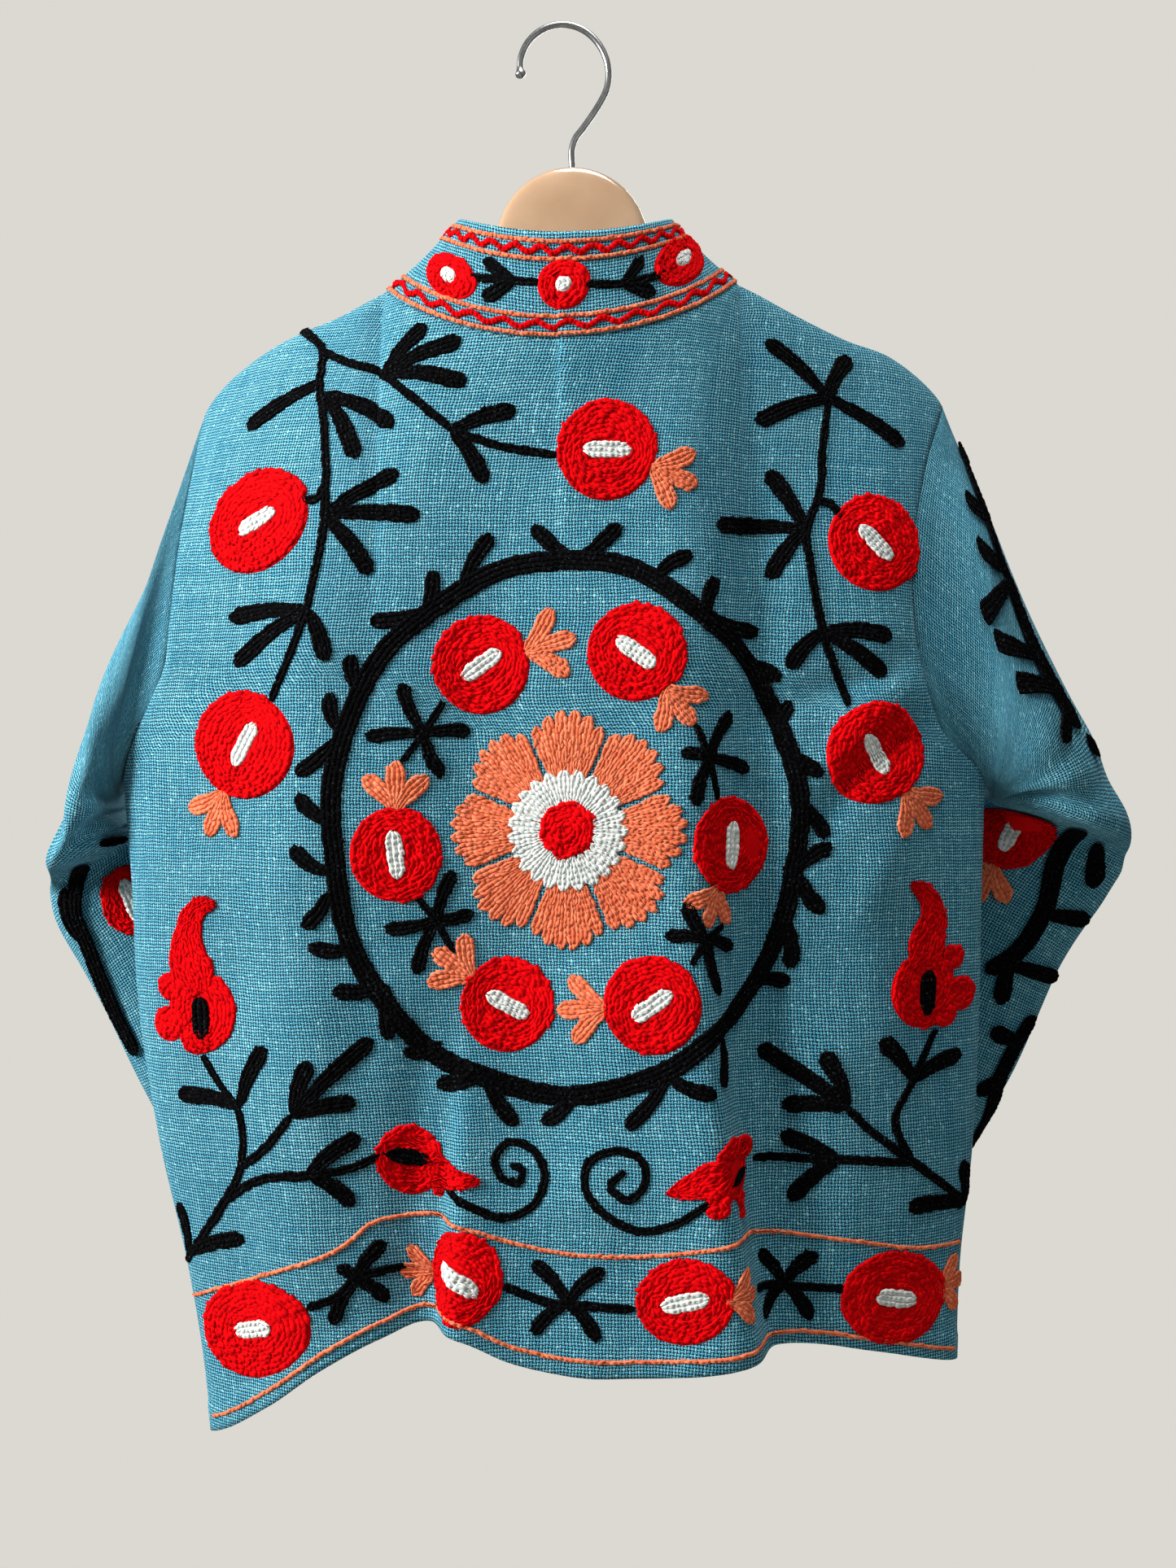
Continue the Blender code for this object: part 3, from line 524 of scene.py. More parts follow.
def sleeve_points(side, back_rows, front_rows):
    """Rings from armhole to cuff: from behind each is a line, near and far it bulges by a sine."""
    back_edge = back_rows[ROWS_LOW:, 0 if side == LEFT else -1]
    front_edge = front_rows[ROWS_LOW:, 0]
    loop = np.concatenate([back_edge[::-1], front_edge[1:-1]])
    turn = np.arange(len(loop)) * 2 * math.pi / len(loop)
    share = (1 + np.cos(turn)) / 2
    table = SLEEVE[side]
    outer = np.stack([table.out_x, table.out_y, table.out_z], axis=1)[:, None]
    inner = np.stack([table.in_x, table.in_y, table.in_z], axis=1)[:, None]
    rings = inner + (outer - inner) * share[None, :, None]
    bulge = np.sin(turn)
    rings[..., 1] -= np.where(bulge > 0, table.near[:, None], table.far[:, None]) * bulge
    loop = loop.copy()
    loop[:, 0] += side * (SEAM_GAP + UNDERARM_GAP * (1 - share) ** 1.5)
    knots = np.arange(len(rings) + 1.0)
    at = np.linspace(0, knots[-1], SLEEVE_RINGS + 1)
    rows = smooth(knots, np.concatenate([loop[None], rings]), at)
    return rows, at, turn


sleeves = {side: sleeve_points(side, back, fronts[side]) for side in (LEFT, RIGHT)}
print("sleeve grid", sleeves[RIGHT][0].shape)


# %% [markdown]
# ## Creases in the sleeves
#
# A bent sleeve crumples at the inside of its elbow, pulls in long soft lines from the armhole
# and has slack lower down. All three are waves along the sleeve, each inside its own window,
# pushed along the normals of the grid. Where a bend is sharp, points are drawn together
# before and after, so that the cloth doesn't fold through itself.

# %% Normals and sleeve creases
def grid_normals(rows, closed=False):
    """Cross product of the two directions of the grid, made one long."""
    along = np.gradient(rows, axis=0)
    if closed:
        across = np.roll(rows, -1, axis=1) - np.roll(rows, 1, axis=1)
    else:
        across = np.gradient(rows, axis=1)
    normal = np.cross(across, along)
    return normal / np.maximum(np.linalg.norm(normal, axis=2, keepdims=True), 1e-9)


ELBOW = SimpleNamespace(height=4.8, pitch=1.9, middle=6.4, reach=2.2)
HEAD = SimpleNamespace(height=2.4, around=3.2, along=0.9, middle=1.6, reach=1.3)
LOWER = SimpleNamespace(height=2.6, pitch=2.6, start=8, end=14.2, fade=2)
FROM_SEAM = 1.2


def crease_sleeve(side, rows, at, turn):
    """Waves at the elbow, the head and the lower sleeve, and fine noise.

    at counts the table's rings from the armhole, and turn is the angle round a ring.
    """
    normal = grid_normals(rows, closed=True) * -side
    i, angle = at[:, None], turn[None, :]
    from_inside = np.abs(angle - math.pi)
    wobble = 0.6 * np.sin(2 * angle + 1) + 0.8 * lattice_noise(angle * 20, i * 20, 30, 3 + side)
    elbow = ELBOW.height * np.sin(2 * math.pi * (i + wobble) / ELBOW.pitch)
    elbow = elbow * np.exp(-((i - ELBOW.middle) / ELBOW.reach) ** 2)
    elbow = elbow * (0.5 + 0.5 * np.exp(-((from_inside / 1.1) ** 2)))
    head = HEAD.height * np.sin(HEAD.around * angle + HEAD.along * i + side)
    head = head * np.exp(-((i - HEAD.middle) / HEAD.reach) ** 2)
    lower = np.sin(2 * math.pi * (i + 0.8 * np.sin(angle + 1)) / LOWER.pitch)
    lower = LOWER.height * lower * ease((i - LOWER.start) / LOWER.fade)
    lower = lower * (0.35 + 0.65 * np.exp(-((from_inside / 1.4) ** 2)))
    seamed = ease(i / FROM_SEAM)
    waves = (elbow + head + lower * ease((LOWER.end - i) / LOWER.fade)) * seamed
    waves = waves + seamed * lattice_noise(angle * 55 + 7, i * 28, 40, 21 + side)
    return rows + normal * waves[..., None]


SLEEVE_HEAD, WHOLE_SLEEVE = (4.2, 1.4), (9.0, 3.0)
BEFORE_CREASES, AFTER_CREASES, LAST_PASSES = 20, 6, 4
PULL = 0.7


def relaxed(rows, at, passes, reach):
    """Each pass draws a point towards the mean of its four neighbours, so that no two fold over.

    It fades out along the sleeve from reach[0] over reach[1], and the armhole row stays.
    """
    weight = (PULL * (1 - ease((at - reach[0]) / reach[1])) * (at > 0))[:, None, None]
    for _ in range(passes):
        around = (np.roll(rows, 1, axis=1) + np.roll(rows, -1, axis=1)) / 2
        along = rows.copy()
        along[1:-1] = (rows[2:] + rows[:-2]) / 2
        rows = rows + weight * ((around + along) / 2 - rows)
    return rows


sleeve_rows = {}
for side, (rows, at, turn) in sleeves.items():
    rows = relaxed(rows, at, BEFORE_CREASES, SLEEVE_HEAD)
    rows = relaxed(crease_sleeve(side, rows, at, turn), at, AFTER_CREASES, SLEEVE_HEAD)
    sleeve_rows[side] = relaxed(rows, at, LAST_PASSES, WHOLE_SLEEVE)
print("sleeves creased")


# %% [markdown]
# ## Seams
#
# A seam pulls its cloth in. Near a side seam, an armhole or the neck, each grid is let down
# by about a millimetre, fading within a few millimetres of the edge, and the hem stands a
# little proud over its fold. These are small steps, but they catch the light.

# %% Seam hollows and hem fold
SEAM_DIP, SEAM_FADE, TOP_SHARE = 1.3, 3.5, 0.6
HEM_STEP, HEM_DEPTH, HEM_EDGE = 0.7, 17.0, 2.5


def row_lengths(rows):
    """Length along every row of a grid."""
    step = np.linalg.norm(np.diff(rows, axis=1), axis=2)
    return np.concatenate([np.zeros((len(rows), 1)), np.cumsum(step, axis=1)], axis=1)


def row_levels(rows):
    """How far each row lies from the first, up the columns and in the mean."""
    return row_lengths(rows.swapaxes(0, 1)).mean(axis=0)


def seam(rows, outwards, sides=(True, True)):
    """Moves the grid in by dip * exp(-distance / fade), and out over the hem's fold."""
    normal = grid_normals(rows) * outwards
    length = row_lengths(rows)
    offset = np.zeros(length.shape)
    if sides[0]:
        offset -= SEAM_DIP * np.exp(-length / SEAM_FADE)
    if sides[1]:
        offset -= SEAM_DIP * np.exp(-(length[:, -1:] - length) / SEAM_FADE)
    up = row_lengths(rows.swapaxes(0, 1)).T
    offset -= TOP_SHARE * SEAM_DIP * np.exp(-(up[-1:] - up) / SEAM_FADE)
    offset += HEM_STEP * ease((HEM_DEPTH - up) / HEM_EDGE)
    return rows + normal * offset[..., None]


back = seam(back, 1)
back[..., 1] -= SEAM_GAP / 2
for side in (LEFT, RIGHT):
    fronts[side] = seam(fronts[side], side, sides=(True, False))
    fronts[side][..., 1] += SEAM_GAP / 2
print("hem fold stands %.1f mm proud" % HEM_STEP)


# %% [markdown]
# ## Meshes
#
# One function puts arrays into a mesh. Faces come as arrays of corner numbers, one array
# for each number of corners, so a quad grid and an end cap can share a mesh. A tube is rings
# of points with a cap at each end. The cloth also gets a UV map in metres, so the weave
# keeps its real size on every piece.

# %% Mesh makers
def make_mesh(name, points, polygons, uv=None):
    """Points in mm, and a list of (n, k) arrays of corners. uv is one pair for each corner."""
    mesh = bpy.data.meshes.new(name)
    corners = np.concatenate([faces.ravel() for faces in polygons]).astype(np.int32)
    sizes = np.concatenate([np.full(len(faces), faces.shape[1]) for faces in polygons])
    starts = np.concatenate([[0], np.cumsum(sizes)[:-1]]).astype(np.int32)
    mesh.vertices.add(len(points))
    mesh.vertices.foreach_set("co", (np.asarray(points) * MM).astype(np.float32).ravel())
    mesh.loops.add(len(corners))
    mesh.loops.foreach_set("vertex_index", corners)
    mesh.polygons.add(len(sizes))
    mesh.polygons.foreach_set("loop_start", starts)
    if uv is not None:
        layer = mesh.uv_layers.new(name="UVMap")
        layer.data.foreach_set("uv", (uv * MM).astype(np.float32).ravel())
    mesh.update(calc_edges=True)
    mesh.validate()
    mesh.shade_smooth()
    obj = bpy.data.objects.new(name, mesh)
    bpy.context.scene.collection.objects.link(obj)
    return obj


def grid_faces(count_rows, count_columns, closed=False):
    """Corners of the quads of a grid."""
    i = np.arange(count_rows - 1)[:, None]
    j = np.arange(count_columns if closed else count_columns - 1)[None, :]
    k = (j + 1) % count_columns
    quad = [i * count_columns + j, i * count_columns + k, (i + 1) * count_columns + k]
    quad.append((i + 1) * count_columns + j)
    return np.stack(np.broadcast_arrays(*quad), axis=-1).reshape(-1, 4)


def tube_faces(count_rings, count_columns):
    """The quads of a tube of rings, and a cap of many corners at each end."""
    ring = np.arange(count_columns)[None, :]
    caps = np.concatenate([ring, ring[:, ::-1] + (count_rings - 1) * count_columns])
    return [grid_faces(count_rings, count_columns, closed=True)[:, ::-1], caps]


def cloth_mesh(name, rows, zero_column, levels, outwards, closed=False):
    """A shell of cloth. u is the length along a row from its zero column, v the row's level."""
    count_rows, count = rows.shape[:2]
    wide = np.concatenate([rows, rows[:, :1]], axis=1) if closed else rows
    u = row_lengths(wide)
    u = u - u[:, zero_column : zero_column + 1]
    v = np.broadcast_to(levels, u.shape)
    faces = grid_faces(count_rows, count, closed)
    i, j = np.divmod(np.arange(len(faces)), count if closed else count - 1)
    pick = np.stack([(i, j), (i, j + 1), (i + 1, j + 1), (i + 1, j)])
    uv = np.stack([u[pick[:, 0], pick[:, 1]], v[pick[:, 0], pick[:, 1]]], axis=-1).swapaxes(0, 1)
    if outwards < 0:
        faces, uv = faces[:, ::-1], uv[:, ::-1]
    obj = make_mesh(name, rows.reshape(-1, 3), [faces], uv.reshape(-1, 2))
    shell = obj.modifiers.new("Cloth", "SOLIDIFY")
    shell.thickness = CLOTH_THICKNESS * MM
    shell.offset = 1
    return obj


print("a grid of 3 rows by 4 columns has", len(grid_faces(3, 4)), "quads")


# %% Cloth pieces
middle = (back.shape[1] - 1) // 2
pieces = {"back": cloth_mesh("back_cloth", back, middle, back[..., 2], 1)}
for side, word in ((LEFT, "left"), (RIGHT, "right")):
    rows = fronts[side]
    pieces["front_" + word] = cloth_mesh(
        "front_cloth_" + word, rows, rows.shape[1] - 1, rows[..., 2], side
    )
    rings = sleeve_rows[side]
    pieces["sleeve_" + word] = cloth_mesh(
        "sleeve_cloth_" + word, rings, 0, -row_levels(rings)[:, None], -side, closed=True
    )
collar_middle = (collar.shape[1] - 1) // 2
pieces["collar"] = cloth_mesh(
    "collar_cloth", collar, collar_middle, row_levels(collar)[:, None], 1
)
print("cloth pieces:", ", ".join(pieces))


# %% [markdown]
# ## Cloth to sew on
#
# An embroiderer marks a pattern on flat cloth and then works through it. The class below is
# that flat cloth: it keeps a fine grid of a garment piece with the length along every row,
# so a shape drawn flat in millimetres can be laid on the hung surface, hardly stretched.
# Its other method answers which place on the cloth a point in the photograph shows.

# %% The cloth as a map
EYE = np.array([16.25, -1000.0, -464.75])
OUT_OF_SIGHT = 1e9
LEAST_AREA, MOST_MOVE = 0.2, 2.0


class Cloth:
    """Points of a garment piece by (u, v): u runs along a row, v is the row's level."""

    def __init__(self, points, normals, levels, lengths):
        self.points, self.normals, self.levels, self.lengths = points, normals, levels, lengths
        self.columns = points.shape[1]
        self.stride = 2 * np.abs(lengths).max() + 10
        self.keys = (lengths + self.stride * np.arange(len(levels))[:, None]).ravel()
        away = EYE[1] / (EYE[1] - points[..., 1:2])
        self.shown = EYE[[0, 2]] + (points[..., [0, 2]] - EYE[[0, 2]]) * away
        self.hidden = np.where(((EYE - points) * normals).sum(axis=2) > 0, 0, OUT_OF_SIGHT)
        faced = np.cross(points[1:, 1:] - points[1:, :-1], points[1:, 1:] - points[:-1, 1:])
        self.mirrored = (faced * normals[1:, 1:]).sum() < 0

    def mix(self, values, row, u):
        """Values at length u of a row: the two nearest columns mixed."""
        at = np.searchsorted(self.keys, u + self.stride * row) - 1
        at = np.clip(at, row * self.columns, (row + 1) * self.columns - 2)
        start, end = self.keys[at], self.keys[at + 1]
        t = (u + self.stride * row - start) / np.maximum(end - start, 1e-9)
        t = np.clip(t, 0, 1)[..., None]
        flat = values.reshape(-1, values.shape[-1])
        return flat[at] * (1 - t) + flat[at + 1] * t

    def place(self, u, v, lift):
        """(x, y, z) at each (u, v), moved out along the normal by lift."""
        at = np.interp(v, self.levels, np.arange(len(self.levels)))
        row = np.minimum(at.astype(int), len(self.levels) - 2)
        t = (at - row)[..., None]
        point, normal = [
            self.mix(values, row, u) * (1 - t) + self.mix(values, row + 1, u) * t
            for values in (self.points, self.normals)
        ]
        normal = normal / np.linalg.norm(normal, axis=-1, keepdims=True)
        return point + normal * np.asarray(lift)[..., None]

    def seen(self, places):
        """(u, v) of the cloth that the photograph shows at these (x, z)."""
        places = np.atleast_2d(np.asarray(places, float))
        gap = self.shown[None] - places[:, None, None]
        away = (gap**2).sum(axis=3) + self.hidden[None]
        i, j = np.unravel_index(away.reshape(len(places), -1).argmin(axis=1), self.hidden.shape)
        i = np.clip(i, 1, len(self.levels) - 2)
        j = np.clip(j, 1, self.columns - 2)
        du = self.lengths[i, j + 1] - self.lengths[i, j - 1]
        dv = self.levels[i + 1] - self.levels[i - 1]
        across = (self.shown[i, j + 1] - self.shown[i, j - 1]) / du[:, None]
        along = (self.shown[i + 1, j] - self.shown[i - 1, j]) / dv[:, None]
        left = places - self.shown[i, j]
        area = across[:, 0] * along[:, 1] - across[:, 1] * along[:, 0]
        area = np.where(np.abs(area) < LEAST_AREA, LEAST_AREA, area)
        u = (left[:, 0] * along[:, 1] - left[:, 1] * along[:, 0]) / area
        v = (across[:, 0] * left[:, 1] - across[:, 1] * left[:, 0]) / area
        moved = np.clip(np.stack([u, v], axis=1), -MOST_MOVE, MOST_MOVE)
        return np.stack([self.lengths[i, j], self.levels[i]], axis=1) + moved


# %% The back, the sleeves and the collar as cloth
BACK_LEVELS = np.arange(-862.0, -150.0, 3.0)
BACK_COLUMNS = 420
CHEST = 120


def back_to_sew():
    """Rows at one height each, so v is z and u is the length from the middle of the back."""
    levels = BACK_LEVELS
    left, right = body_edge(LEFT, levels)[:, None], body_edge(RIGHT, levels)[:, None]
    x = left + (right - left) * np.linspace(0, 1, BACK_COLUMNS)
    z = np.broadcast_to(levels[:, None], x.shape)
    points = np.stack([x, body_y(x, z, False), z], axis=2)
    above_hem = z - smooth(HEM_BACK.x, HEM_BACK.z, x)
    points[..., 1] += -HEM_STEP * ease((HEM_DEPTH - above_hem) / HEM_EDGE)
    lengths_along = row_lengths(points)
    middle_length = np.array([np.interp(0, row_x, row) for row_x, row in zip(x, lengths_along)])
    return Cloth(points, grid_normals(points), levels, lengths_along - middle_length[:, None])


def sleeve_to_sew(side):
    """Rings turned upside down, so v grows upwards as on the other pieces."""
    count = sleeve_rows[side].shape[1]
    rings = np.roll(sleeve_rows[side], count // 4, axis=1)
    wide = np.concatenate([rings, rings[:, :1]], axis=1)
    normals = grid_normals(wide) * side
    along = row_lengths(wide)
    along = along - along[:, count // 2 : count // 2 + 1]
    return Cloth(wide[::-1], normals[::-1], -row_levels(rings)[::-1], along[::-1])


def collar_to_sew():
    """The collar's own rows, with u measured from the middle of the back."""
    along = row_lengths(collar)
    along = along - along[:, collar_middle : collar_middle + 1]
    return Cloth(collar, grid_normals(collar), row_levels(collar), along)


sewn = {"back": back_to_sew(), "collar": collar_to_sew()}
sewn["sleeve_left"], sewn["sleeve_right"] = sleeve_to_sew(LEFT), sleeve_to_sew(RIGHT)
print("length round the back at the chest: %.0f mm" % np.ptp(sewn["back"].lengths[CHEST]))


# %% [markdown]
# ## Chain stitch
#
# The wool is worked with a hook in rows of loops, each loop coming up inside the one before.
# Drawing every strand would cost far too much, so one loop is a small mound of nine faces:
# two high strands with a groove between them, narrow where it starts. All loops of a group
# are placed in a single call. Under them lies a low cushion of the same wool, so that no
# cotton shows between the rows.

# %% One loop, and a group of them
LOOP_PITCH, ROW_PITCH = 3.4, 2.9
WOOL_LOW, WOOL_HIGH = CLOTH_THICKNESS - 0.15, CLOTH_THICKNESS + 0.8
LOOP_ALONG = np.repeat([-0.55, 0.05, 0.55], 5)
LOOP_ACROSS = np.array([-1, -0.55, 0, 0.55, 1] * 3) * np.repeat([0.42, 1.0, 0.78], 5)
LOOP_HEIGHT = np.array(
    [-0.3, 0.1, 0.0, 0.1, -0.3, -0.3, 1.0, 0.35, 1.0, -0.3, -0.3, 0.55, 0.45, 0.55, -0.3]
)
LOOP_POINTS = len(LOOP_HEIGHT)
LOOP_RISE, RISE_BY_WIDTH = 0.3, 0.13
CUSHION_TONE = 0.5
LOOP_TOP = grid_faces(3, 5)[:, ::-1]
LOOP_UNDER = np.array([[5, 0, 1, 2, 3, 4, 9, 14, 13, 12, 11, 10]])


class Wool:
    """Gathers the loops and the cushions of one colour on one garment piece."""

    def __init__(self, cloth, seed, rough):
        self.cloth, self.rough = cloth, rough
        self.loops = []
        self.padding = []
        self.draw = np.random.default_rng(seed)

    def stitch(self, places, width, lift=0.0, pitch=LOOP_PITCH):
        """Loops along a fine line of places, each as wide as the row is there."""
        length = lengths(places)
        count = max(int(round(length[-1] / pitch)), 1)
        edges = np.linspace(0, length[-1], count + 1)
        at = (edges[1:] + edges[:-1]) / 2
        middle = np.stack([np.interp(at, length, axis) for axis in places.T], axis=1)
        ends = np.stack([np.interp(edges, length, axis) for axis in places.T], axis=1)
        ahead = np.diff(ends, axis=0)
        size = np.linalg.norm(ahead, axis=1)
        wide = np.interp(at, length, np.broadcast_to(width, length.shape))
        rough, draw = self.rough, self.draw
        loose = 0.1 + 0.3 * rough
        turned = np.arctan2(ahead[:, 1], ahead[:, 0]) + draw.normal(0, loose, count)
        row = np.stack(
            [
                *(middle + draw.normal(0, loose, (count, 2))).T,
                turned,
                size * draw.uniform(1.3, 1.5 + 0.4 * rough, count),
                wide * draw.uniform(1.0 + 0.1 * rough, 1.16 + 0.3 * rough, count),
                np.full(count, lift) + draw.uniform(-0.1, 0.1, count) * (1 + 3 * rough),
                draw.uniform(0, 1, count),
            ],
            axis=1,
        )
        self.loops.append(row)

    def pad(self, places, faces, lift):
        """A closed low cushion: flat places, corners of its faces, the height of each place."""
        self.padding.append((places, faces, lift))

    def mesh(self, name):
        """One mesh of all the loops and cushions, with a tone for each loop."""
        loops = np.concatenate(self.loops)
        u, v, turned, size, wide, lift, tone = loops.T[:, :, None]
        along, across = LOOP_ALONG * size, LOOP_ACROSS * wide / 2
        high = WOOL_HIGH + lift + LOOP_HEIGHT * (LOOP_RISE + RISE_BY_WIDTH * wide)
        cos, sin = np.cos(turned), np.sin(turned)
        u, v = u + along * cos - across * sin, v + along * sin + across * cos
        points = self.cloth.place(u, v, high)
        first = np.arange(len(loops))[:, None, None] * LOOP_POINTS
        quads = [(LOOP_TOP + first).reshape(-1, 4)]
        under = (LOOP_UNDER + first).reshape(-1, LOOP_UNDER.shape[1])
        shapes = [points.reshape(-1, 3)]
        tones = [np.repeat(tone, LOOP_POINTS)]
        caps = {under.shape[1]: [under]}
        total = len(shapes[0])
        for places, faces, height in self.padding:
            shapes.append(self.cloth.place(places[:, 0], places[:, 1], height))
            tones.append(np.full(len(places), CUSHION_TONE))
            for corners in faces:
                caps.setdefault(corners.shape[1], []).append(corners + total)
            total += len(places)
        polygons = quads + [np.concatenate(group) for group in caps.values()]
        if self.cloth.mirrored:
            polygons = [corners[:, ::-1] for corners in polygons]
        obj = make_mesh(name, np.concatenate(shapes), polygons)
        layer = obj.data.attributes.new("tone", "FLOAT", "POINT")
        layer.data.foreach_set("value", np.concatenate(tones).astype(np.float32))
        return obj


print("one loop: %d faces" % (len(LOOP_TOP) + 1))


# %% [markdown]
# ## Three shapes of wool
#
# Nearly every motif is one of three shapes. A blade is rows of loops laid side by side along
# a line, as in leaves, stems, petals and the lobes of a pomegranate's crown. A round is one
# row wound inwards in a spiral, as in the red discs. A wave is a single row that swings from
# side to side, as on the collar.

# %% Blades and rounds
BLADE_AT = np.linspace(0, 1, 5)
BLADE = {
    "leaf": (0.6, 0.78, 0.92, 1.0, 1.0),
    "stem": (0.92, 1.0, 1.0, 1.0, 0.92),
    "seed": (0.95, 1.0, 1.0, 1.0, 0.95),
    "almond": (0.2, 0.85, 1.0, 0.8, 0.2),
    "petal": (0.46, 0.62, 0.8, 0.97, 0.95),
    "lobe": (0.4, 0.62, 0.88, 1.0, 0.9),
    "neck": (1.0, 0.82, 0.6, 0.42, 0.34),
}
BLADE_STEP, FEWEST_STEPS, BLUNT = 1.8, 9, 0.4
CROSS = np.array([-1.0, -0.82, -0.4, 0.4, 0.82, 1.0])
CROSS_HEIGHT = np.array([0.0, 0.75, 1.0, 1.0, 0.75, 0.0])


def rounded_path(knots):
    """A fine curve through the knots, straight where there are only two."""
    knots = np.asarray(knots, float)
    if len(knots) == 2:
        return knots[0] + (knots[1] - knots[0]) * np.linspace(0, 1, FEWEST_STEPS)[:, None]
    length = lengths(knots)
    return smooth(length, knots, np.linspace(0, length[-1], 12 * len(knots)))


def square_to(path):
    """Directions of length one, square to a flat line of points."""
    ahead = np.gradient(path, axis=0)
    ahead /= np.linalg.norm(ahead, axis=1, keepdims=True)
    return np.stack([-ahead[:, 1], ahead[:, 0]], axis=1)


def blade(wool, knots, half, kind, rows=None, lift=0.0, pitch=LOOP_PITCH, rounded=True):
    """Half-width at t is half * profile(t), rounded off at the ends as a circle would be.

    Row r of n lies (2r + 1 - n) / n half-widths out.
    """
    path = rounded_path(knots)
    length = lengths(path)
    steps = max(int(length[-1] / BLADE_STEP) + 2, FEWEST_STEPS)
    share = np.linspace(0, 1, steps)
    path = spread(path, share)
    across = square_to(path)
    width = half * smooth(BLADE_AT, np.array(BLADE[kind]), share)
    if rounded:
        from_end = np.minimum(share, np.linspace(1, 0, steps)) * length[-1]
        off_centre = 1 - np.clip(from_end / half, 0, 1)
        width = width * np.maximum(np.sqrt(1 - off_centre**2), BLUNT)
    rows = rows or max(int(round(2 * half / ROW_PITCH)), 1)
    for row in range(rows):
        out = (2 * row + 1 - rows) / rows
        wool.stitch(path + across * (out * width)[:, None], 2 * width / rows, lift, pitch)
    ring = path[:, None] + across[:, None] * (CROSS[None, :, None] * width[:, None, None])
    height = WOOL_LOW + lift + (WOOL_HIGH - WOOL_LOW) * np.tile(CROSS_HEIGHT, steps)
    wool.pad(ring.reshape(-1, 2), tube_faces(steps, len(CROSS)), height)


PILLOW_SHARE = np.array([0.02, 0.2, 0.4, 0.6, 0.8, 0.94, 1.0, 0.9, 0.02])
PILLOW_HEIGHT = np.array([1.0, 1.0, 1.0, 1.0, 1.0, 0.7, 0.0, 0.0, 0.0])
PILLOW_TURNS, PILLOW_SIZE = 44, 0.99
POINTS_A_TURN = 70


def pillow(wool, outline, centre, lift=0.0):
    """A low cushion inside an outline: rings shrink to the centre on top and below."""
    rings = centre + (outline[None] - centre) * PILLOW_SHARE[:, None, None]
    height = WOOL_LOW + lift + (WOOL_HIGH - WOOL_LOW) * np.repeat(PILLOW_HEIGHT, len(outline))
    wool.pad(rings.reshape(-1, 2), tube_faces(len(rings), len(outline)), height)


def round_of(wool, centre, outer, inner, angle, turns, wobble=(0, 0.0), lift=0.0):
    """A spiral from the outer ellipse in to the inner one, turned by an angle in degrees."""
    turn = math.radians(angle)
    spin = np.array([[math.cos(turn), math.sin(turn)], [-math.sin(turn), math.cos(turn)]])
    lobes, deep = wobble
    edge = 1 - 0.5 / turns

    def ellipse(theta, share):
        across = inner[0] + (outer[0] - inner[0]) * share
        along = inner[1] + (outer[1] - inner[1]) * share
        swell = 1 + deep * share * np.cos(lobes * theta)
        out = [across * swell * np.cos(theta), along * swell * np.sin(theta)]
        return centre + np.stack(out, axis=-1) @ spin

    theta = np.linspace(0, 2 * math.pi * turns, int(POINTS_A_TURN * turns))
    share = edge * (1 - theta / theta[-1]) + 0.3 / turns * theta / theta[-1]
    gap = (outer[0] - inner[0]) * np.cos(theta) ** 2 + (outer[1] - inner[1]) * np.sin(theta) ** 2
    wool.stitch(ellipse(theta, share), gap / turns, lift)
    around = np.linspace(0, 2 * math.pi, PILLOW_TURNS, endpoint=False)
    pillow(wool, ellipse(around, np.full(PILLOW_TURNS, PILLOW_SIZE)), centre, lift)


print("blade profiles:", ", ".join(BLADE))


# %% [markdown]
# ## The pattern of the back
#
# The embroidery is a garden in the old Central Asian manner: a round ring of stems with
# leaves, pomegranates inside and outside it, a many-petalled flower in the middle, peppers
# and tendrils below, and a border along the hem. The tables say where each motif sits as the
# photograph shows it, in millimetres at the plane of the hook; its shape comes from the three
# rules above. What lies on a fold is slid into it along the cloth.

# %% Wool by garment piece and colour
WOOLS = {}
ROUGH = {"discs": 0.8, "peppers": 0.8, "flower": 0.4}
EVEN = 0.25


def yarn(piece, colour, part="stitches"):
    """The wool of one colour on one piece, made when it is first asked for."""
    key = (piece, colour, part)
    if key not in WOOLS:
        WOOLS[key] = Wool(sewn[piece], 100 + len(WOOLS), ROUGH.get(part, EVEN))
    return WOOLS[key]


def nearness(cloth, place):
    """How much smaller a length is on the cloth than it looks at the plane of the hook."""
    depth = cloth.place(*np.atleast_2d(place).T, np.zeros(1))[0, 1]
    return 1 - depth / EYE[1]


SCALE_REACH, LEAST_SCALE = 12.0, 0.9


def local_scale(cloth, x, z, most=1.3):
    """Cloth lengths per seen length across and up at a place, within reason on steep folds."""
    reach = SCALE_REACH
    around = cloth.seen([(x - reach, z), (x + reach, z), (x, z - reach), (x, z + reach)])
    scale = np.array([around[1, 0] - around[0, 0], around[3, 1] - around[2, 1]]) / (2 * reach)
    return np.clip(scale, LEAST_SCALE, most)


def turned(length, angle):
    """A step of this length at an angle in degrees."""
    angle = math.radians(angle)
    return np.array([length * math.cos(angle), length * math.sin(angle)])


LEAF_HALF, STEM_HALF = 5.4, 2.6
HEM_LEAF_HALF, HEM_TOP = 4.6, -745


def leaf(piece, start, tip, half=LEAF_HALF, bend=0.0, part="vines"):
    """A blade from one seen place to another, its middle pushed aside by bend millimetres."""
    cloth = sewn[piece]
    a, b = cloth.seen([start, tip])
    side = np.array([a[1] - b[1], b[0] - a[0]]) / max(np.linalg.norm(b - a), 1)
    scale = nearness(cloth, b)
    blade(yarn(piece, "black", part), [a, (a + b) / 2 + side * bend, b], half * scale, "leaf")


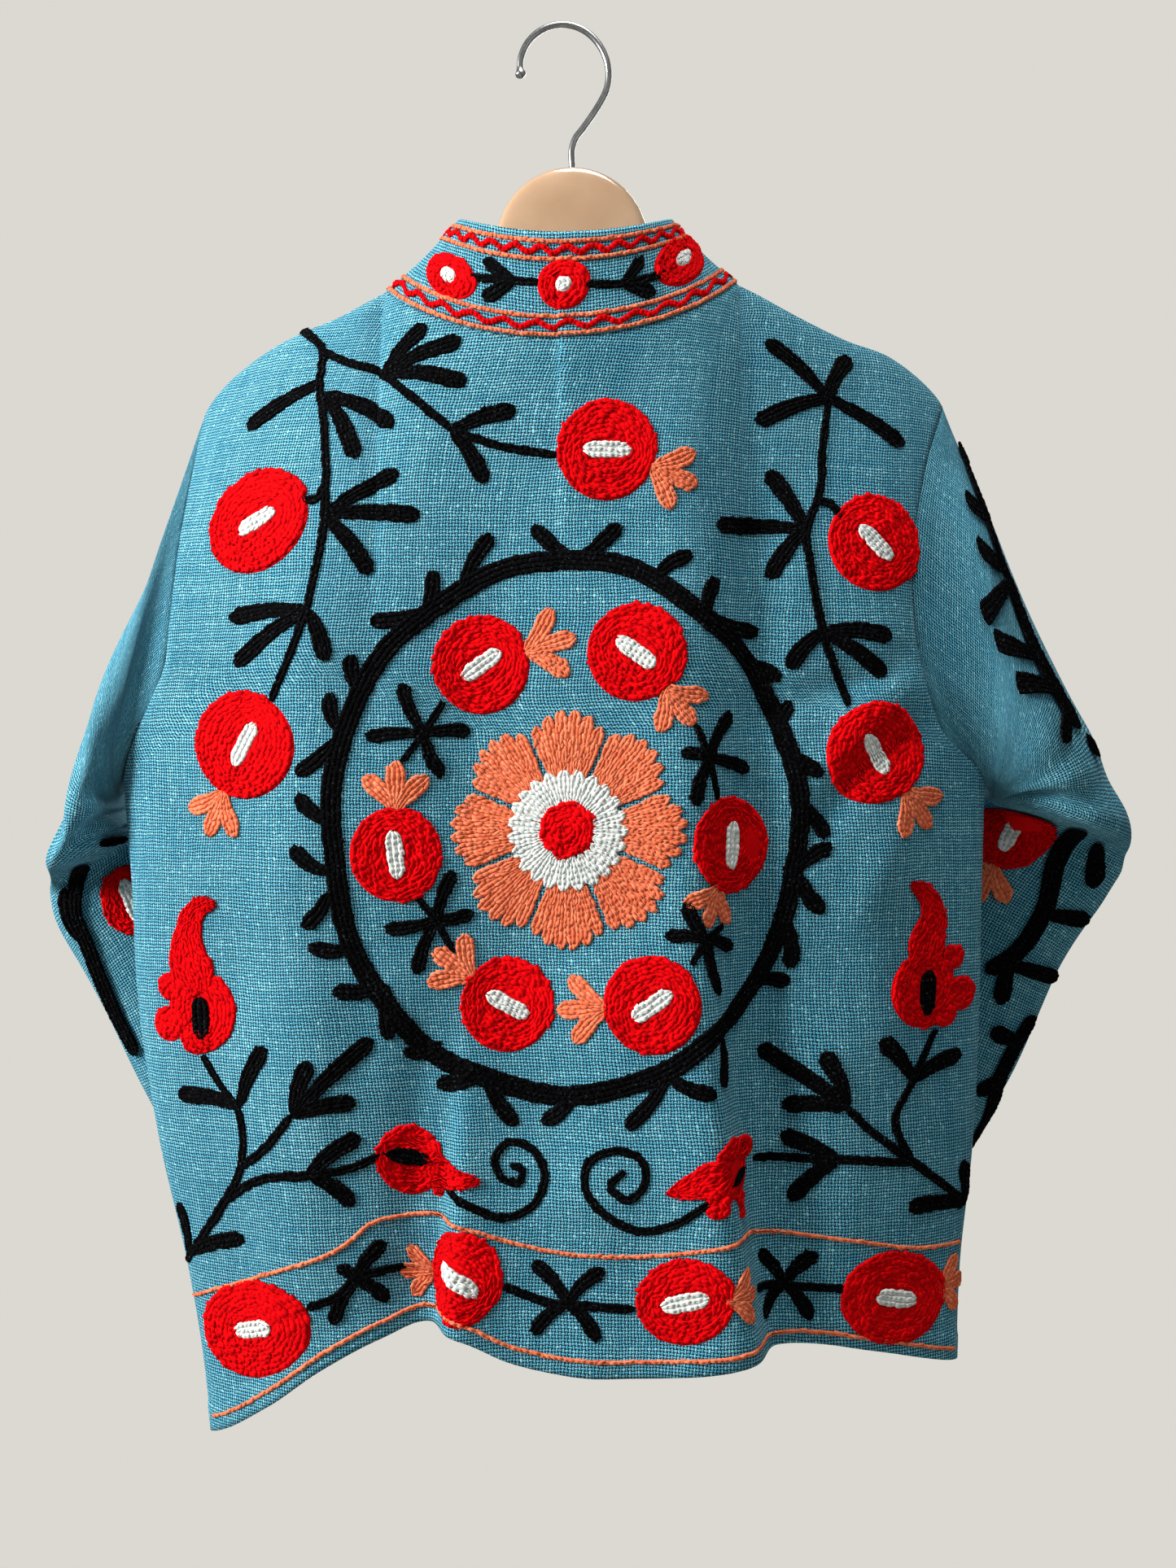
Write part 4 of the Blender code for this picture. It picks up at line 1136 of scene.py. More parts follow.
def stem(piece, *places, half=STEM_HALF, part="vines", colour="black", rows=2):
    """A blade through seen places, nearly as wide at its ends."""
    blade(yarn(piece, colour, part), sewn[piece].seen(places), half, "stem", rows=rows)


print("a length on the back is %.2f of the one seen" % nearness(sewn["back"], (0, -500)))


# %% Pomegranates
POMEGRANATE = columns(
    "x z half_x half_z tilt seed slide crown reach",
    (-49, -392, 30, 32, 0, 35, 0, 16, 30), (46, -384, 30, 32, 0, -36, 0, -52, 26),
    (-102, -508, 29, 30, 0, -84, 0, 90, 28), (127, -502, 28, 30, 0, 88, -27, -112, 24),
    (-33, -600, 29, 31, 10, -27, 0, 143, 27), (56, -601, 30, 32, 0, 35, 0, 184, 29),
    (28, -260, 31, 32, 0, -2, 0, -22, 28), (-186, -304, 32, 30, 0, 27, 0, 0, 0),
    (-194, -441, 33, 32, 0, 63, 0, -116, 28), (192, -317, 29, 30, 0, -44, 0, 0, 0),
    (192, -446, 32, 30, 0, -60, 0, -50, 28), (-188, -799, 33, 30, 20, 14, 0, 0, 0),
    (-38, -769, 28, 30, 0, -30, -27, 180, 22), (76, -783, 31, 27, 10, 14, 0, 4, 22),
    (204, -780, 33, 29, 0, -11, 0, 4, 24),
)
SEED_LENGTH, SEED_HALF = 26.0, 5.0
DISC_TURNS = 8
LOBE_FAN, LOBE_HALF, WHOLE_LOBE = (42, 0, -42), 6.0, 27
ROOT_INSIDE, MIDDLE_LONGER = 3, 1.06


def pomegranate(piece, x, z, half_x, half_z, tilt, seed, slide, crown, reach, rise=0):
    """A red round with a cream seed along its middle, and a crown of three coral lobes."""
    cloth = sewn[piece]
    centre = cloth.seen([(x, z)])[0]
    scale = nearness(cloth, centre)
    size = np.array([scale, scale]) if slide else local_scale(cloth, x, z)
    centre = centre + np.array([slide, rise]) * scale
    outer = np.array([half_x, half_z]) * size
    inner = (SEED_LENGTH / 2 * 0.92, SEED_HALF * 1.05)
    red = yarn(piece, "red", "discs")
    turn = math.radians(tilt - seed)
    outer_turned = np.hypot(outer * math.cos(turn), outer[::-1] * math.sin(turn))
    round_of(red, centre, outer_turned, inner, seed, DISC_TURNS)
    half_seed = turned(SEED_LENGTH / 2, seed)
    ends = [centre - half_seed, centre + half_seed]
    blade(yarn(piece, "cream"), ends, SEED_HALF, "seed", rows=3, lift=0.5)
    if reach:
        root = centre + turned(outer.mean() - ROOT_INSIDE, crown)
        half = LOBE_HALF * scale * min(1, reach / WHOLE_LOBE)
        for fan in LOBE_FAN:
            tip = root + turned(reach * scale * (1.0 if fan else MIDDLE_LONGER), crown + fan)
            middle = (root * 1.1 + tip * 0.9) / 2 + turned(2.0, crown)
            blade(yarn(piece, "coral"), [root, middle, tip], half, "lobe", rows=4)


for row in zip(*vars(POMEGRANATE).values()):
    pomegranate("back", *row)
print("pomegranates:", len(POMEGRANATE.x))

# %% The ring and its leaves
RING = SimpleNamespace(x=1.4, z=-491.8, half_x=143.7, half_z=164.2, half=6.0, leaf_half=5.0)
RING_LEAVES = (
    ((9, -328), (-15, -309), (33, -308)), ((58, -337), (77, -325)),
    ((88, -362), (93, -341), (117, -371)), ((109, -390), (132, -399)),
    ((133, -440), (139, -417), (157, -457)), ((143, -474), (161, -495)),
    ((143, -518), (163, -504), (159, -541)), ((137, -545), (141, -574)),
    ((120, -586), (138, -586)), ((97, -622), (98, -648)),
    ((66, -645), (43, -673), (91, -655)), ((10, -655), (-9, -671)),
    ((-48, -643), (-73, -648), (-30, -671)), ((-74, -624), (-94, -629)),
    ((-107, -589), (-137, -592), (-106, -618)), ((-128, -566), (-152, -565)),
    ((-143, -520), (-163, -506)), ((-143, -532), (-156, -551)),
    ((-143, -488), (-160, -474)), ((-139, -438), (-160, -457)),
    ((-137, -432), (-142, -412)), ((-126, -407), (-129, -388)),
    ((-84, -359), (-114, -365), (-79, -337)), ((-61, -344), (-45, -315)),
)
RING_LEAF_LENGTH = 1.08


def on_ring(angle):
    """A place on the ring, which wanders a little as handwork does."""
    angle = np.radians(angle)
    out = 1.3 * np.sin(5 * angle + 1) + 0.8 * np.sin(11 * angle)
    x = RING.x + (RING.half_x + out) * np.cos(angle)
    z = RING.z + (RING.half_z + out) * np.sin(angle)
    return np.stack([x, z], axis=-1)


ring_path = sewn["back"].seen(on_ring(np.linspace(0, 360, 73)))
ring_path[-1] = ring_path[0]
blade(yarn("back", "black", "ring"), ring_path, RING.half, "stem", rows=4, rounded=False)
for start, *tips in RING_LEAVES:
    for number, tip in enumerate(tips):
        tip = tuple(np.array(start) + RING_LEAF_LENGTH * np.subtract(tip, start))
        leaf("back", start, tip, RING.leaf_half, 1.5 - 3 * number, "ring")
print("ring leaves:", sum(len(tips) - 1 for tips in RING_LEAVES))

# %% Stars inside the ring
STARS = (
    ((-85, -434), ((-98, -404), (-119, -436), (-57, -432), (-74, -459)),
     ((-73, -415), (-98, -451))),
    ((90, -449), ((102, -422), (74, -446), (113, -456), (82, -477)), ((82, -429), (95, -473))),
    ((-77, -548), ((-67, -519), (-55, -544), (-107, -554), (-89, -580)),
     ((-89, -534), (-67, -567))),
    ((88, -560), ((77, -538), (65, -558), (103, -565), (95, -593)), ((97, -552), (80, -575))),
)
STAR_LEAF_HALF, STAR_STEM_HALF = 4.4, 2.1
STAR_BENDS = (1.6, -1.2, 1.0, -1.6)
for centre, tips, ends in STARS:
    for tip, bend in zip(tips, STAR_BENDS):
        leaf("back", centre, tip, STAR_LEAF_HALF, bend, "ring")
    for end in ends:
        stem("back", centre, end, half=STAR_STEM_HALF, part="ring")
print("stars:", len(STARS))

# %% The flower in the middle
FLOWER = np.array([4.0, -493.4])
PETALS, FINGERS, FINGER_STEP = 8, 6, 7.0
PETAL = SimpleNamespace(start=31, end=72.5, half=4.1, curve=1.1)
SCALLOPS, SCALLOP = 23, SimpleNamespace(start=15.5, end=36, half=4.9)


def flower():
    """Petals of rounded fingers, a ring of cream scallops and a red round on top."""
    cloth = sewn["back"]
    centre = cloth.seen([FLOWER])[0]
    scale = nearness(cloth, centre)
    coral, cream = yarn("back", "coral", "flower"), yarn("back", "cream")
    red = yarn("back", "red", "discs")
    for petal in range(PETALS):
        aim = 90 + petal * 360 / PETALS
        for finger in range(FINGERS):
            off = finger - (FINGERS - 1) / 2
            angle = aim + off * FINGER_STEP
            reach = (PETAL.end - PETAL.curve * off**2) * scale
            root = centre + turned(PETAL.start * scale, aim + off * FINGER_STEP * 0.9)
            blade(coral, [root, centre + turned(reach, angle)], PETAL.half * scale, "petal", rows=3)
    for scallop in range(SCALLOPS):
        angle = scallop * 360 / SCALLOPS
        ends = [centre + turned(out * scale, angle) for out in (SCALLOP.start, SCALLOP.end)]
        blade(cream, ends, SCALLOP.half * scale, "petal", rows=3, lift=0.5)
    outer = (18.5 * scale, 18.0 * scale)
    round_of(red, centre, outer, (0.8, 0.8), 20, 6, wobble=(6, 0.07), lift=0.8)


flower()
print("petals:", PETALS, "of", FINGERS, "fingers")

# %% Vines of the upper back
VINES = (
    [(-157, -187), (-146, -200), (-148, -217), (-145, -246), (-144, -281), (-145, -300),
     (-154, -349), (-156, -358)],
    [(-146, -200), (-127, -208), (-110, -213), (-88, -230), (-68, -247)],
    [(-66, -248), (-40, -257), (-3, -263)],
    [(-144, -281), (-150, -290), (-158, -291)],
    [(-156, -358), (-166, -385), (-177, -413)],
    [(163, -228), (160, -256), (157, -290), (150, -310), (152, -327), (160, -371), (176, -416)],
    [(157, -291), (165, -294), (171, -301)],
    [(-228, -757), (-205, -719), (-196, -700), (-198, -664), (-208, -650), (-219, -632)],
    [(-196, -700), (-181, -688), (-166, -669)],
    [(-206, -720), (-183, -707), (-157, -705), (-129, -700), (-113, -693)],
    [(246, -721), (214, -696), (192, -680), (175, -664)],
    [(214, -696), (204, -670), (215, -646), (221, -632), (228, -616)],
    [(214, -697), (169, -695), (117, -694)],
    [(-155, -786), (-138, -779), (-127, -769), (-97, -760)],
    [(-36, -773), (-7, -783), (4, -784), (44, -787)],
    [(118, -776), (137, -772), (174, -774)],
)
SPRAYS = (
    ((-108, -213), (-83, -184), (-62, -193), (-59, -218)),
    ((-67, -248), (-29, -235), (-47, -279)),
    ((-147, -219), (-191, -246)),
    ((-144, -226), (-103, -244), (-126, -264)),
    ((-145, -300), (-101, -274), (-88, -300), (-118, -335)),
    ((-156, -358), (-202, -363), (-199, -391), (-145, -388)),
    ((163, -228), (126, -194), (175, -204), (120, -243), (208, -257)),
    ((149, -309), (127, -274), (95, -306), (128, -338)),
    ((160, -371), (201, -374), (198, -398), (140, -393)),
    ((-227, -752), (-233, -722), (-195, -743)),
    ((-197, -662), (-233, -655), (-182, -627)),
    ((-164, -668), (-155, -636), (-117, -622), (-128, -660)),
    ((-155, -704), (-125, -681), (-128, -722)),
    ((246, -721), (245, -697), (213, -724)),
    ((215, -646), (243, -630), (196, -622)),
    ((175, -663), (121, -626), (161, -630), (137, -661)),
    ((169, -695), (136, -680), (141, -719)),
    ((-127, -769), (-110, -746), (-137, -762), (-108, -781), (-140, -795)),
    ((4, -783), (-17, -759), (25, -763), (-17, -801), (22, -805)),
    ((137, -771), (120, -752), (156, -753), (153, -792), (123, -792)),
)
for line in VINES:
    stem("back", *line)
for node, *tips in SPRAYS:
    for tip in tips:
        half = HEM_LEAF_HALF if node[1] < HEM_TOP else LEAF_HALF
        leaf("back", node, tip, half, bend=1.8 if tip[0] > node[0] else -1.8)
print("sprays:", len(SPRAYS))

# %% Tendrils
TENDRILS = (
    [(-70, -709), (-53, -726), (-35, -731), (-16, -722), (-10, -705), (-18, -689), (-33, -685),
     (-41, -695), (-35, -708), (-26, -709), (-24, -702), (-30, -699)],
    [(91, -722), (70, -735), (48, -739), (28, -730), (15, -713), (17, -698), (34, -690),
     (50, -697), (51, -711), (40, -720), (30, -712), (38, -703)],
)
for tendril in TENDRILS:
    stem("back", *tendril, half=2.4)
print("tendrils:", len(TENDRILS))

# %% Peppers
PEPPER = (
    {"body": (-220, -604, 22, 25), "seed": [(-221, -596), (-220, -620)], "pip": ("seed", 5.9),
     "neck": [(-221, -592), (-228, -571), (-228, -555), (-222, -541), (-212, -538)], "wide": 18,
     "lobes": [(-239, -589, 9), (-240, -612, 11), (-224, -622, 9)]},
    {"body": (221, -591, 20, 24), "seed": [(224, -580), (223, -605)], "pip": ("seed", 5.9),
     "neck": [(220, -575), (224, -559), (227, -545), (223, -533), (214, -526)], "wide": 16,
     "lobes": [(239, -571, 8), (244, -593, 11), (234, -606, 8)]},
    {"body": (-93, -695, 22, 22), "seed": [(-110, -691), (-79, -696)], "pip": ("almond", 5.2),
     "neck": [(-84, -699), (-70, -704), (-51, -709)], "wide": 13, "lobes": [(-74, -713, 5)]},
    {"body": (105, -701, 13, 20), "seed": [(103, -712), (110, -700)], "pip": ("almond", 3.6),
     "neck": [(102, -704), (84, -711), (66, -716)], "wide": 15,
     "lobes": [(97, -719, 6.5), (96, -727, 5.5), (108, -720, 5), (109, -728, 3.6), (109, -688, 8)]},
)
BODY_TURNS = 6


def pepper(facts):
    """A red round with a curved tapering neck, small lobes and a black seed."""
    cloth = sewn["back"]
    red = yarn("back", "red", "peppers")
    x, z, half_x, half_z = facts["body"]
    centre = cloth.seen([(x, z)])[0]
    scale = local_scale(cloth, x, z)
    seed = cloth.seen(facts["seed"])
    aim = math.degrees(math.atan2(*(seed[1] - seed[0])[::-1]))
    half = np.array([half_x, half_z]) * scale
    turn = math.radians(aim)
    half = np.hypot(half * math.cos(turn), half[::-1] * math.sin(turn))
    round_of(red, centre, half, (11, 4.4), aim, BODY_TURNS)
    for *place, size in facts["lobes"]:
        turns = max(size // 3, 2)
        round_of(red, cloth.seen([place])[0], size * scale, (0.6, 0.6), 0, turns, lift=0.1)
    blade(red, cloth.seen(facts["neck"]), facts["wide"] * scale.min(), "neck", lift=0.3)
    pip, half_pip = facts["pip"]
    blade(yarn("back", "black", "vines"), seed, half_pip * scale.min(), pip, rows=3, lift=0.7)


for facts in PEPPER:
    pepper(facts)
print("peppers:", len(PEPPER))

# %% The border along the hem
UPPER_LINE = [
    (-224, -778), (-175, -764), (-135, -749), (-114, -733), (-96, -729), (-78, -728), (-64, -737),
    (-15, -750), (35, -755), (62, -754), (98, -750), (110, -744), (122, -739), (163, -743),
    (220, -749), (243, -745),
]
LINE_HALF = 1.15
stem("back", *UPPER_LINE, half=LINE_HALF, colour="coral", part="stitches", rows=1)


def flat_place(x, z):
    """(u, v) on the back of true places (x, z)."""
    cloth = sewn["back"]
    row = np.clip(np.searchsorted(cloth.levels, z) - 1, 0, len(cloth.levels) - 2)
    columns_x = cloth.points[row, :, 0]
    u = [np.interp(one, line, cloth.lengths[n]) for one, line, n in zip(x, columns_x, row)]
    return np.stack([u, z], axis=1)


hem_x = np.linspace(-208, 236, 90)
above_hem = np.interp(hem_x, [60, 130], [9.6, 7.2])
hem_line = flat_place(hem_x, smooth(HEM_BACK.x, HEM_BACK.z, hem_x) + above_hem)
blade(yarn("back", "coral"), hem_line, LINE_HALF, "stem", rows=1)
print("border lines: 2")

# %% The collar
COLLAR_DISCS = ((-69, -153, 16.5, 14.3), (1, -158.5, 16.4, 15.8), (74, -143, 16.0, 16.2))
COLLAR_SPRAYS = (
    ((-14, -157), (-46, -144), (-47, -167), (-54, -154)),
    ((15, -158), (49, -143), (56, -164), (62, -152)),
)
WAVE_PITCH, WAVE_SWING = 21.0, 1.8
WAVE_HALF, EDGE_HALF, COLLAR_LEAF_HALF = 1.7, 1.2, 4.4


def collar_line(level, half, colour, swing=0.0):
    """A row round the collar at one level; swing * sin(2 pi u / pitch) makes it a wave."""
    cloth = sewn["collar"]
    ends = cloth.lengths[0, 0] + 3, cloth.lengths[0, -1] - 3
    u = np.arange(*ends, 1.5)
    shrink = np.interp(level, cloth.levels, cloth.lengths[:, -1] / cloth.lengths[0, -1])
    v = level + swing * np.sin(2 * math.pi * u / WAVE_PITCH)
    line = np.stack([u * shrink, v], axis=1)
    blade(yarn("collar", colour), line, half, "stem", rows=1, pitch=2.7)


collar_height = sewn["collar"].levels[-1]
for low, middle_level, high in (
    (1.9, 7.4, 12.6),
    (collar_height - 15.6, collar_height - 10.4, collar_height - 5.6),
):
    collar_line(low, EDGE_HALF, "coral")
    collar_line(middle_level, WAVE_HALF, "red", WAVE_SWING)
    collar_line(high, EDGE_HALF, "coral")
for x, z, *half in COLLAR_DISCS:
    centre = sewn["collar"].seen([(x, z)])[0]
    scale = local_scale(sewn["collar"], x, z, 1.6)
    round_of(yarn("collar", "red", "discs"), centre, half * scale, 4.6 * scale, 0, 4)
    round_of(yarn("collar", "cream"), centre, 5.0 * scale, (0.5, 0.5), 0, 2, lift=0.5)
for node, *tips in COLLAR_SPRAYS:
    fork = (-29, -156) if node[0] < 0 else (37, -158)
    for tip in tips[:2]:
        leaf("collar", fork, tip, COLLAR_LEAF_HALF, part="sprays")
    stem("collar", node, fork, tips[2], half=2.4, part="sprays")
print("collar height: %.1f mm" % collar_height)

# %% Sleeves
SLEEVE_VINES = {
    "sleeve_right": {
        "stems": (
            (4.5, [(246, -266), (258, -296), (266, -320), (274, -341)]),
            (7.0, [(272, -335), (282, -364), (291, -385), (300, -402), (309, -418), (316, -430)]),
            (6.0, [(320, -492), (303, -514), (296, -542), (278, -569), (261, -580)]),
            (5.5, [(289, -606), (279, -624), (270, -641), (260, -672), (253, -694)]),
        ),
        "leaves": (
            ((260, -303), (247, -289)), ((269, -333), (255, -318)), ((274, -342), (258, -361)),
            ((290, -386), (266, -376)), ((302, -406), (279, -403)), ((308, -420), (308, -439)),
            ((321, -436), (328, -447)), ((248, -268), (243, -258)),
            ((330, -500), (326, -527)), ((296, -544), (322, -548)), ((270, -574), (307, -580)),
            ((275, -572), (269, -599)), ((281, -624), (264, -616)), ((272, -642), (256, -652)),
        ),
        "discs": ((270, -501, 28, 27, 75, -98, 9),),
    },
    "sleeve_left": {
        "stems": (
            (5.4, [(-295, -514), (-298, -548), (-292, -561), (-282, -586), (-272, -608),
                   (-261, -630)]),
            (3.0, [(-306, -528), (-303, -548), (-296, -560)]),
        ),
        "leaves": (((-284, -501), (-270, -497)),),
        "discs": ((-264, -536, 22, 25, 80, 0, 0),),
    },
}
for piece, facts in SLEEVE_VINES.items():
    for half, line in facts["stems"]:
        stem(piece, *line, half=half, rows=max(round(2 * half / ROW_PITCH), 2))
    for start, tip in facts["leaves"]:
        leaf(piece, start, tip)
    for x, z, half_x, half_z, seed, crown, rise in facts["discs"]:
        pomegranate(piece, x, z, half_x, half_z, 0, seed, 0, crown, 26 if crown else 0, rise)
print("stitched groups:", len(WOOLS))


# %% [markdown]
# ## Materials as formulas
#
# A weave is easiest to describe as arithmetic: two sets of threads, and a rule for which one
# is on top. The small class below wraps a socket, so the usual operators add Math nodes and a
# material reads like the formula it draws.

# %% Shader arithmetic
class Value:
    """A number that varies over a surface."""

    def __init__(self, finish, socket):
        self.finish, self.socket = finish, socket

    def math(self, operation, *others):
        node = self.finish.node("Math", {"operation": operation})
        for slot, value in zip(node.inputs, (self, *others)):
            self.finish.feed(slot, value)
        return Value(self.finish, node.outputs[0])

    def __add__(self, other):
        return self.math("ADD", other)

    def __sub__(self, other):
        return self.math("SUBTRACT", other)

    def __rsub__(self, other):
        return self.math("MULTIPLY", -1) + other

    def __mul__(self, other):
        return self.math("MULTIPLY", other)

    __radd__, __rmul__ = __add__, __mul__

    def between(self, low, high):
        """0 at low, 1 at high, eased between."""
        node = self.finish.node("MapRange", {"interpolation_type": "SMOOTHSTEP"})
        for slot, value in zip(node.inputs, (self, low, high, 0.0, 1.0)):
            self.finish.feed(slot, value)
        return Value(self.finish, node.outputs[0])


class Finish:
    """A material with one Principled shader, whose constant values are set when it is made."""

    def __init__(self, name, **constants):
        self.material = bpy.data.materials.new(name)
        self.material.use_nodes = True
        self.tree = self.material.node_tree
        self.shader = self.tree.nodes["Principled BSDF"]
        for socket, value in constants.items():
            self.shader.inputs[socket.replace("_", " ")].default_value = value

    def node(self, kind, settings=None, **values):
        made = self.tree.nodes.new("ShaderNode" + kind)
        for name, value in (settings or {}).items():
            setattr(made, name, value)
        for name, value in values.items():
            self.feed(made.inputs[name.replace("_", " ")], value)
        return made

    def feed(self, slot, value):
        if isinstance(value, Value):
            self.tree.links.new(value.socket, slot)
        elif isinstance(value, bpy.types.NodeSocket):
            self.tree.links.new(value, slot)
        else:
            slot.default_value = value

    def value(self, socket):
        return Value(self, socket)

    def noise(self, vector, scale, detail=2.0, roughness=0.5):
        made = self.node("TexNoise", Vector=vector, Scale=scale, Detail=detail, Roughness=roughness)
        return self.value(made.outputs["Factor" if "Factor" in made.outputs else "Fac"])

    def vector(self, x, y, z=0.0):
        made = self.node("CombineXYZ", X=x, Y=y, Z=z)
        return made.outputs[0]

    def blend(self, share, low, high):
        """A colour between two others; share is a value from 0 to 1."""
        made = self.node("Mix", {"data_type": "RGBA"})
        self.feed(made.inputs[0], share)
        self.feed(made.inputs[6], low)
        self.feed(made.inputs[7], high)
        return made.outputs[2]

    def relief(self, height, distance, strength=1.0):
        """height in units of distance, metres."""
        bump = self.node("Bump", Height=height, Distance=distance, Strength=strength)
        self.feed(self.shader.inputs["Normal"], bump.outputs[0])


def paint(red, green, blue):
    """A colour as a paint chart gives it, from 0 to 255, made linear for the shader."""
    share = np.array([red, green, blue]) / 255
    linear = np.where(share <= 0.04045, share / 12.92, ((share + 0.055) / 1.055) ** 2.4)
    return (*linear.tolist(), 1.0)


print("shader arithmetic ready")


# %% [markdown]
# ## Slubby plain weave
#
# Plain weave lifts each thread over one neighbour and under the next. With threads a pitch
# apart, sin(pi u) * sin(pi v) is positive where the upright thread is on top and negative
# where the crossing one is. Each thread is a low arch, and the higher arch wins; where both
# are low, a dark hole shows. The colour darkens with the height of the arches towards a
# near-black blue: partly the real holes of the weave, partly painted shade down the sides of
# the threads. Slubs are soft thick places, so long stretched noise follows single threads and
# lightens them.

# %% The cotton
THREAD = 0.0019


def cotton():
    """Height and tone of the two sets of threads, darkened where the weave is low: real holes and
    painted shade.
    """
    cloth = Finish("turquoise_cotton_weave", Roughness=0.88, Sheen_Weight=0.05, Sheen_Roughness=0.5)
    cloth.shader.inputs["Specular IOR Level"].default_value = 0.2
    uv = cloth.node("UVMap", {"uv_map": "UVMap"}).outputs[0]
    place = cloth.node("SeparateXYZ", Vector=uv)
    u, v = [cloth.value(place.outputs[axis]) * (1 / THREAD) for axis in ("X", "Y")]
    drift = cloth.noise(uv, 150.0, 2.0)
    swim = cloth.noise(uv, 14.0, 1.0)
    u = u + (drift - 0.5) * 0.9 + (swim - 0.5) * 3.0
    v = v + (drift - 0.5) * -0.8 + (swim - 0.5) * -2.4
    over = (u * math.pi).math("SINE") * (v * math.pi).math("SINE")
    arches, tones = [], []
    for at, along, sign, short in ((u, v, 1.0, 0.26), (v, u, -1.0, 0.4)):
        thread = at.math("FLOOR")
        inside = (at - thread) * 2 - 1
        slub = cloth.noise(cloth.vector(thread * 3.7, along * short, sign * 9), 1.0, 2.0)
        whole = cloth.noise(cloth.vector(thread * 5.3, along * 0.03, sign * 5), 1.0, 1.0)
        thick = slub.between(0.52, 0.78)
        arch = 1 - inside * inside * (1.7 - thick * 0.8 - whole * 0.6)
        arches.append(arch * (over * (0.42 * sign) + 0.58))
        tones.append(thick * 0.7 + whole.between(0.3, 0.75) * 0.45)
    height = arches[0].math("MAXIMUM", arches[1])
    upright_wins = arches[0].math("GREATER_THAN", arches[1])
    tone = tones[0] * upright_wins + tones[1] * (1 - upright_wins)
    fuzz = cloth.noise(cloth.node("TexCoord").outputs["Object"], 2600.0, 2.0)
    patches = cloth.noise(uv, 9.0, 2.0)
    thread_colour = cloth.blend(tone, paint(76, 170, 202), paint(160, 232, 248))
    faded = patches.between(0.35, 0.7) * 0.2
    thread_colour = cloth.blend(faded, thread_colour, paint(44, 132, 166))
    # Painted shade: the thread colour falls to a near-black blue as the weave's height falls, down
    # the sides of each thread and in the holes between them.
    lit = height.between(0.32, 0.74)
    colour = cloth.blend(lit, paint(2, 26, 40), thread_colour)
    cloth.feed(cloth.shader.inputs["Base Color"], colour)
    cloth.relief(height + fuzz * 0.12, 0.0005, 0.75)
    return cloth.material


cotton_finish = cotton()
print("thread pitch %.1f mm" % (THREAD / MM))


# %% [markdown]
# ## Wool, plastic and wire
#
# Wool is matt and hairy, and each loop has taken the dye a little differently, so the loops
# carry a tone of their own. The hanger is polished plastic with a clear gloss; large soft
# patches of a lighter and a darker tan are painted on it as reflection and shade. The hook is
# drawn wire with fine lines along it.

# %% Wool
def wool(name, dark, light, glint=0.0):
    """Fine fibres and each loop's own tone between a dark and a light colour."""
    yarn = Finish(name, Roughness=0.95)
    yarn.shader.inputs["Specular IOR Level"].default_value = 0.05
    tone = yarn.value(yarn.node("Attribute", {"attribute_name": "tone"}).outputs["Fac"])
    place = yarn.node("TexCoord").outputs["Object"]
    fibres = yarn.noise(place, 1900.0, 3.0, 0.65)
    shade = (tone * 0.55 + fibres * 0.7 - 0.1).math("MAXIMUM", 0.0).math("MINIMUM", 1.0)
    colour = yarn.blend(shade, dark, light)
    specks = yarn.noise(place, 800.0, 1.0).between(0.63, 0.72) * glint
    yarn.feed(yarn.shader.inputs["Base Color"], yarn.blend(specks, colour, paint(120, 140, 146)))
    yarn.relief(fibres, 0.0004, 0.6)
    return yarn.material


wools = {
    "red": wool("red_wool_stitch", paint(172, 0, 7), paint(240, 5, 13)),
    "black": wool("black_wool_stitch", paint(1, 1, 2), paint(8, 7, 10), glint=0.1),
    "coral": wool("coral_wool_stitch", paint(206, 88, 52), paint(255, 146, 108)),
    "cream": wool("cream_wool_stitch", paint(186, 196, 196), paint(240, 242, 238)),
}
print("wools:", ", ".join(wools))


# %% Plastic and wire
def plastic():
    """Two tans mixed by large soft noise under a clear coat: painted reflection and shade."""
    shell = Finish("tan_plastic_gloss", Coat_Weight=0.8, Coat_Roughness=0.06)
    place = shell.node("TexCoord").outputs["Object"]
    painted_reflection_mottle = shell.noise(place, 22.0, 4.0, 0.55)
    grain = shell.noise(place, 900.0, 2.0)
    # Painted reflection and shade: large soft patches between a darker and a lighter tan.
    colour = shell.blend(painted_reflection_mottle, paint(168, 132, 100), paint(206, 174, 144))
    shell.feed(shell.shader.inputs["Base Color"], colour)
    shell.feed(shell.shader.inputs["Roughness"], painted_reflection_mottle * 0.12 + 0.17)
    shell.relief(grain, 0.00004, 0.4)
    return shell.material


def wire():
    """Bright metal, a little cloudy, with drawn lines along it."""
    steel = Finish("steel_wire_drawn", Metallic=1.0)
    place = steel.node("TexCoord").outputs["Object"]
    stretch = steel.node("Mapping", Vector=place, Scale=(2400.0, 2400.0, 60.0))
    lines = steel.noise(stretch.outputs[0], 1.0, 2.0)
    cloudy = steel.noise(place, 130.0, 3.0)
    colour = steel.blend(cloudy, paint(138, 142, 146), paint(205, 206, 206))
    steel.feed(steel.shader.inputs["Base Color"], colour)
    steel.feed(steel.shader.inputs["Roughness"], lines * 0.18 + 0.2)
    steel.relief(lines, 0.00003, 0.3)
    return steel.material


plastic_finish, wire_finish = plastic(), wire()
print("plastic and wire ready")


# %% [markdown]
# ## The hanger and its hook
#
# The hanger is one moulding: a dome in the middle and two broad arms that sweep forward, as
# shoulders do. Its surface is a rounded cross-section carried from tip to tip, and the section
# comes from the same rule as in the packed solid, with far more points. The hook is a round
# wire: a circle carried along its line, using two directions square to the line.

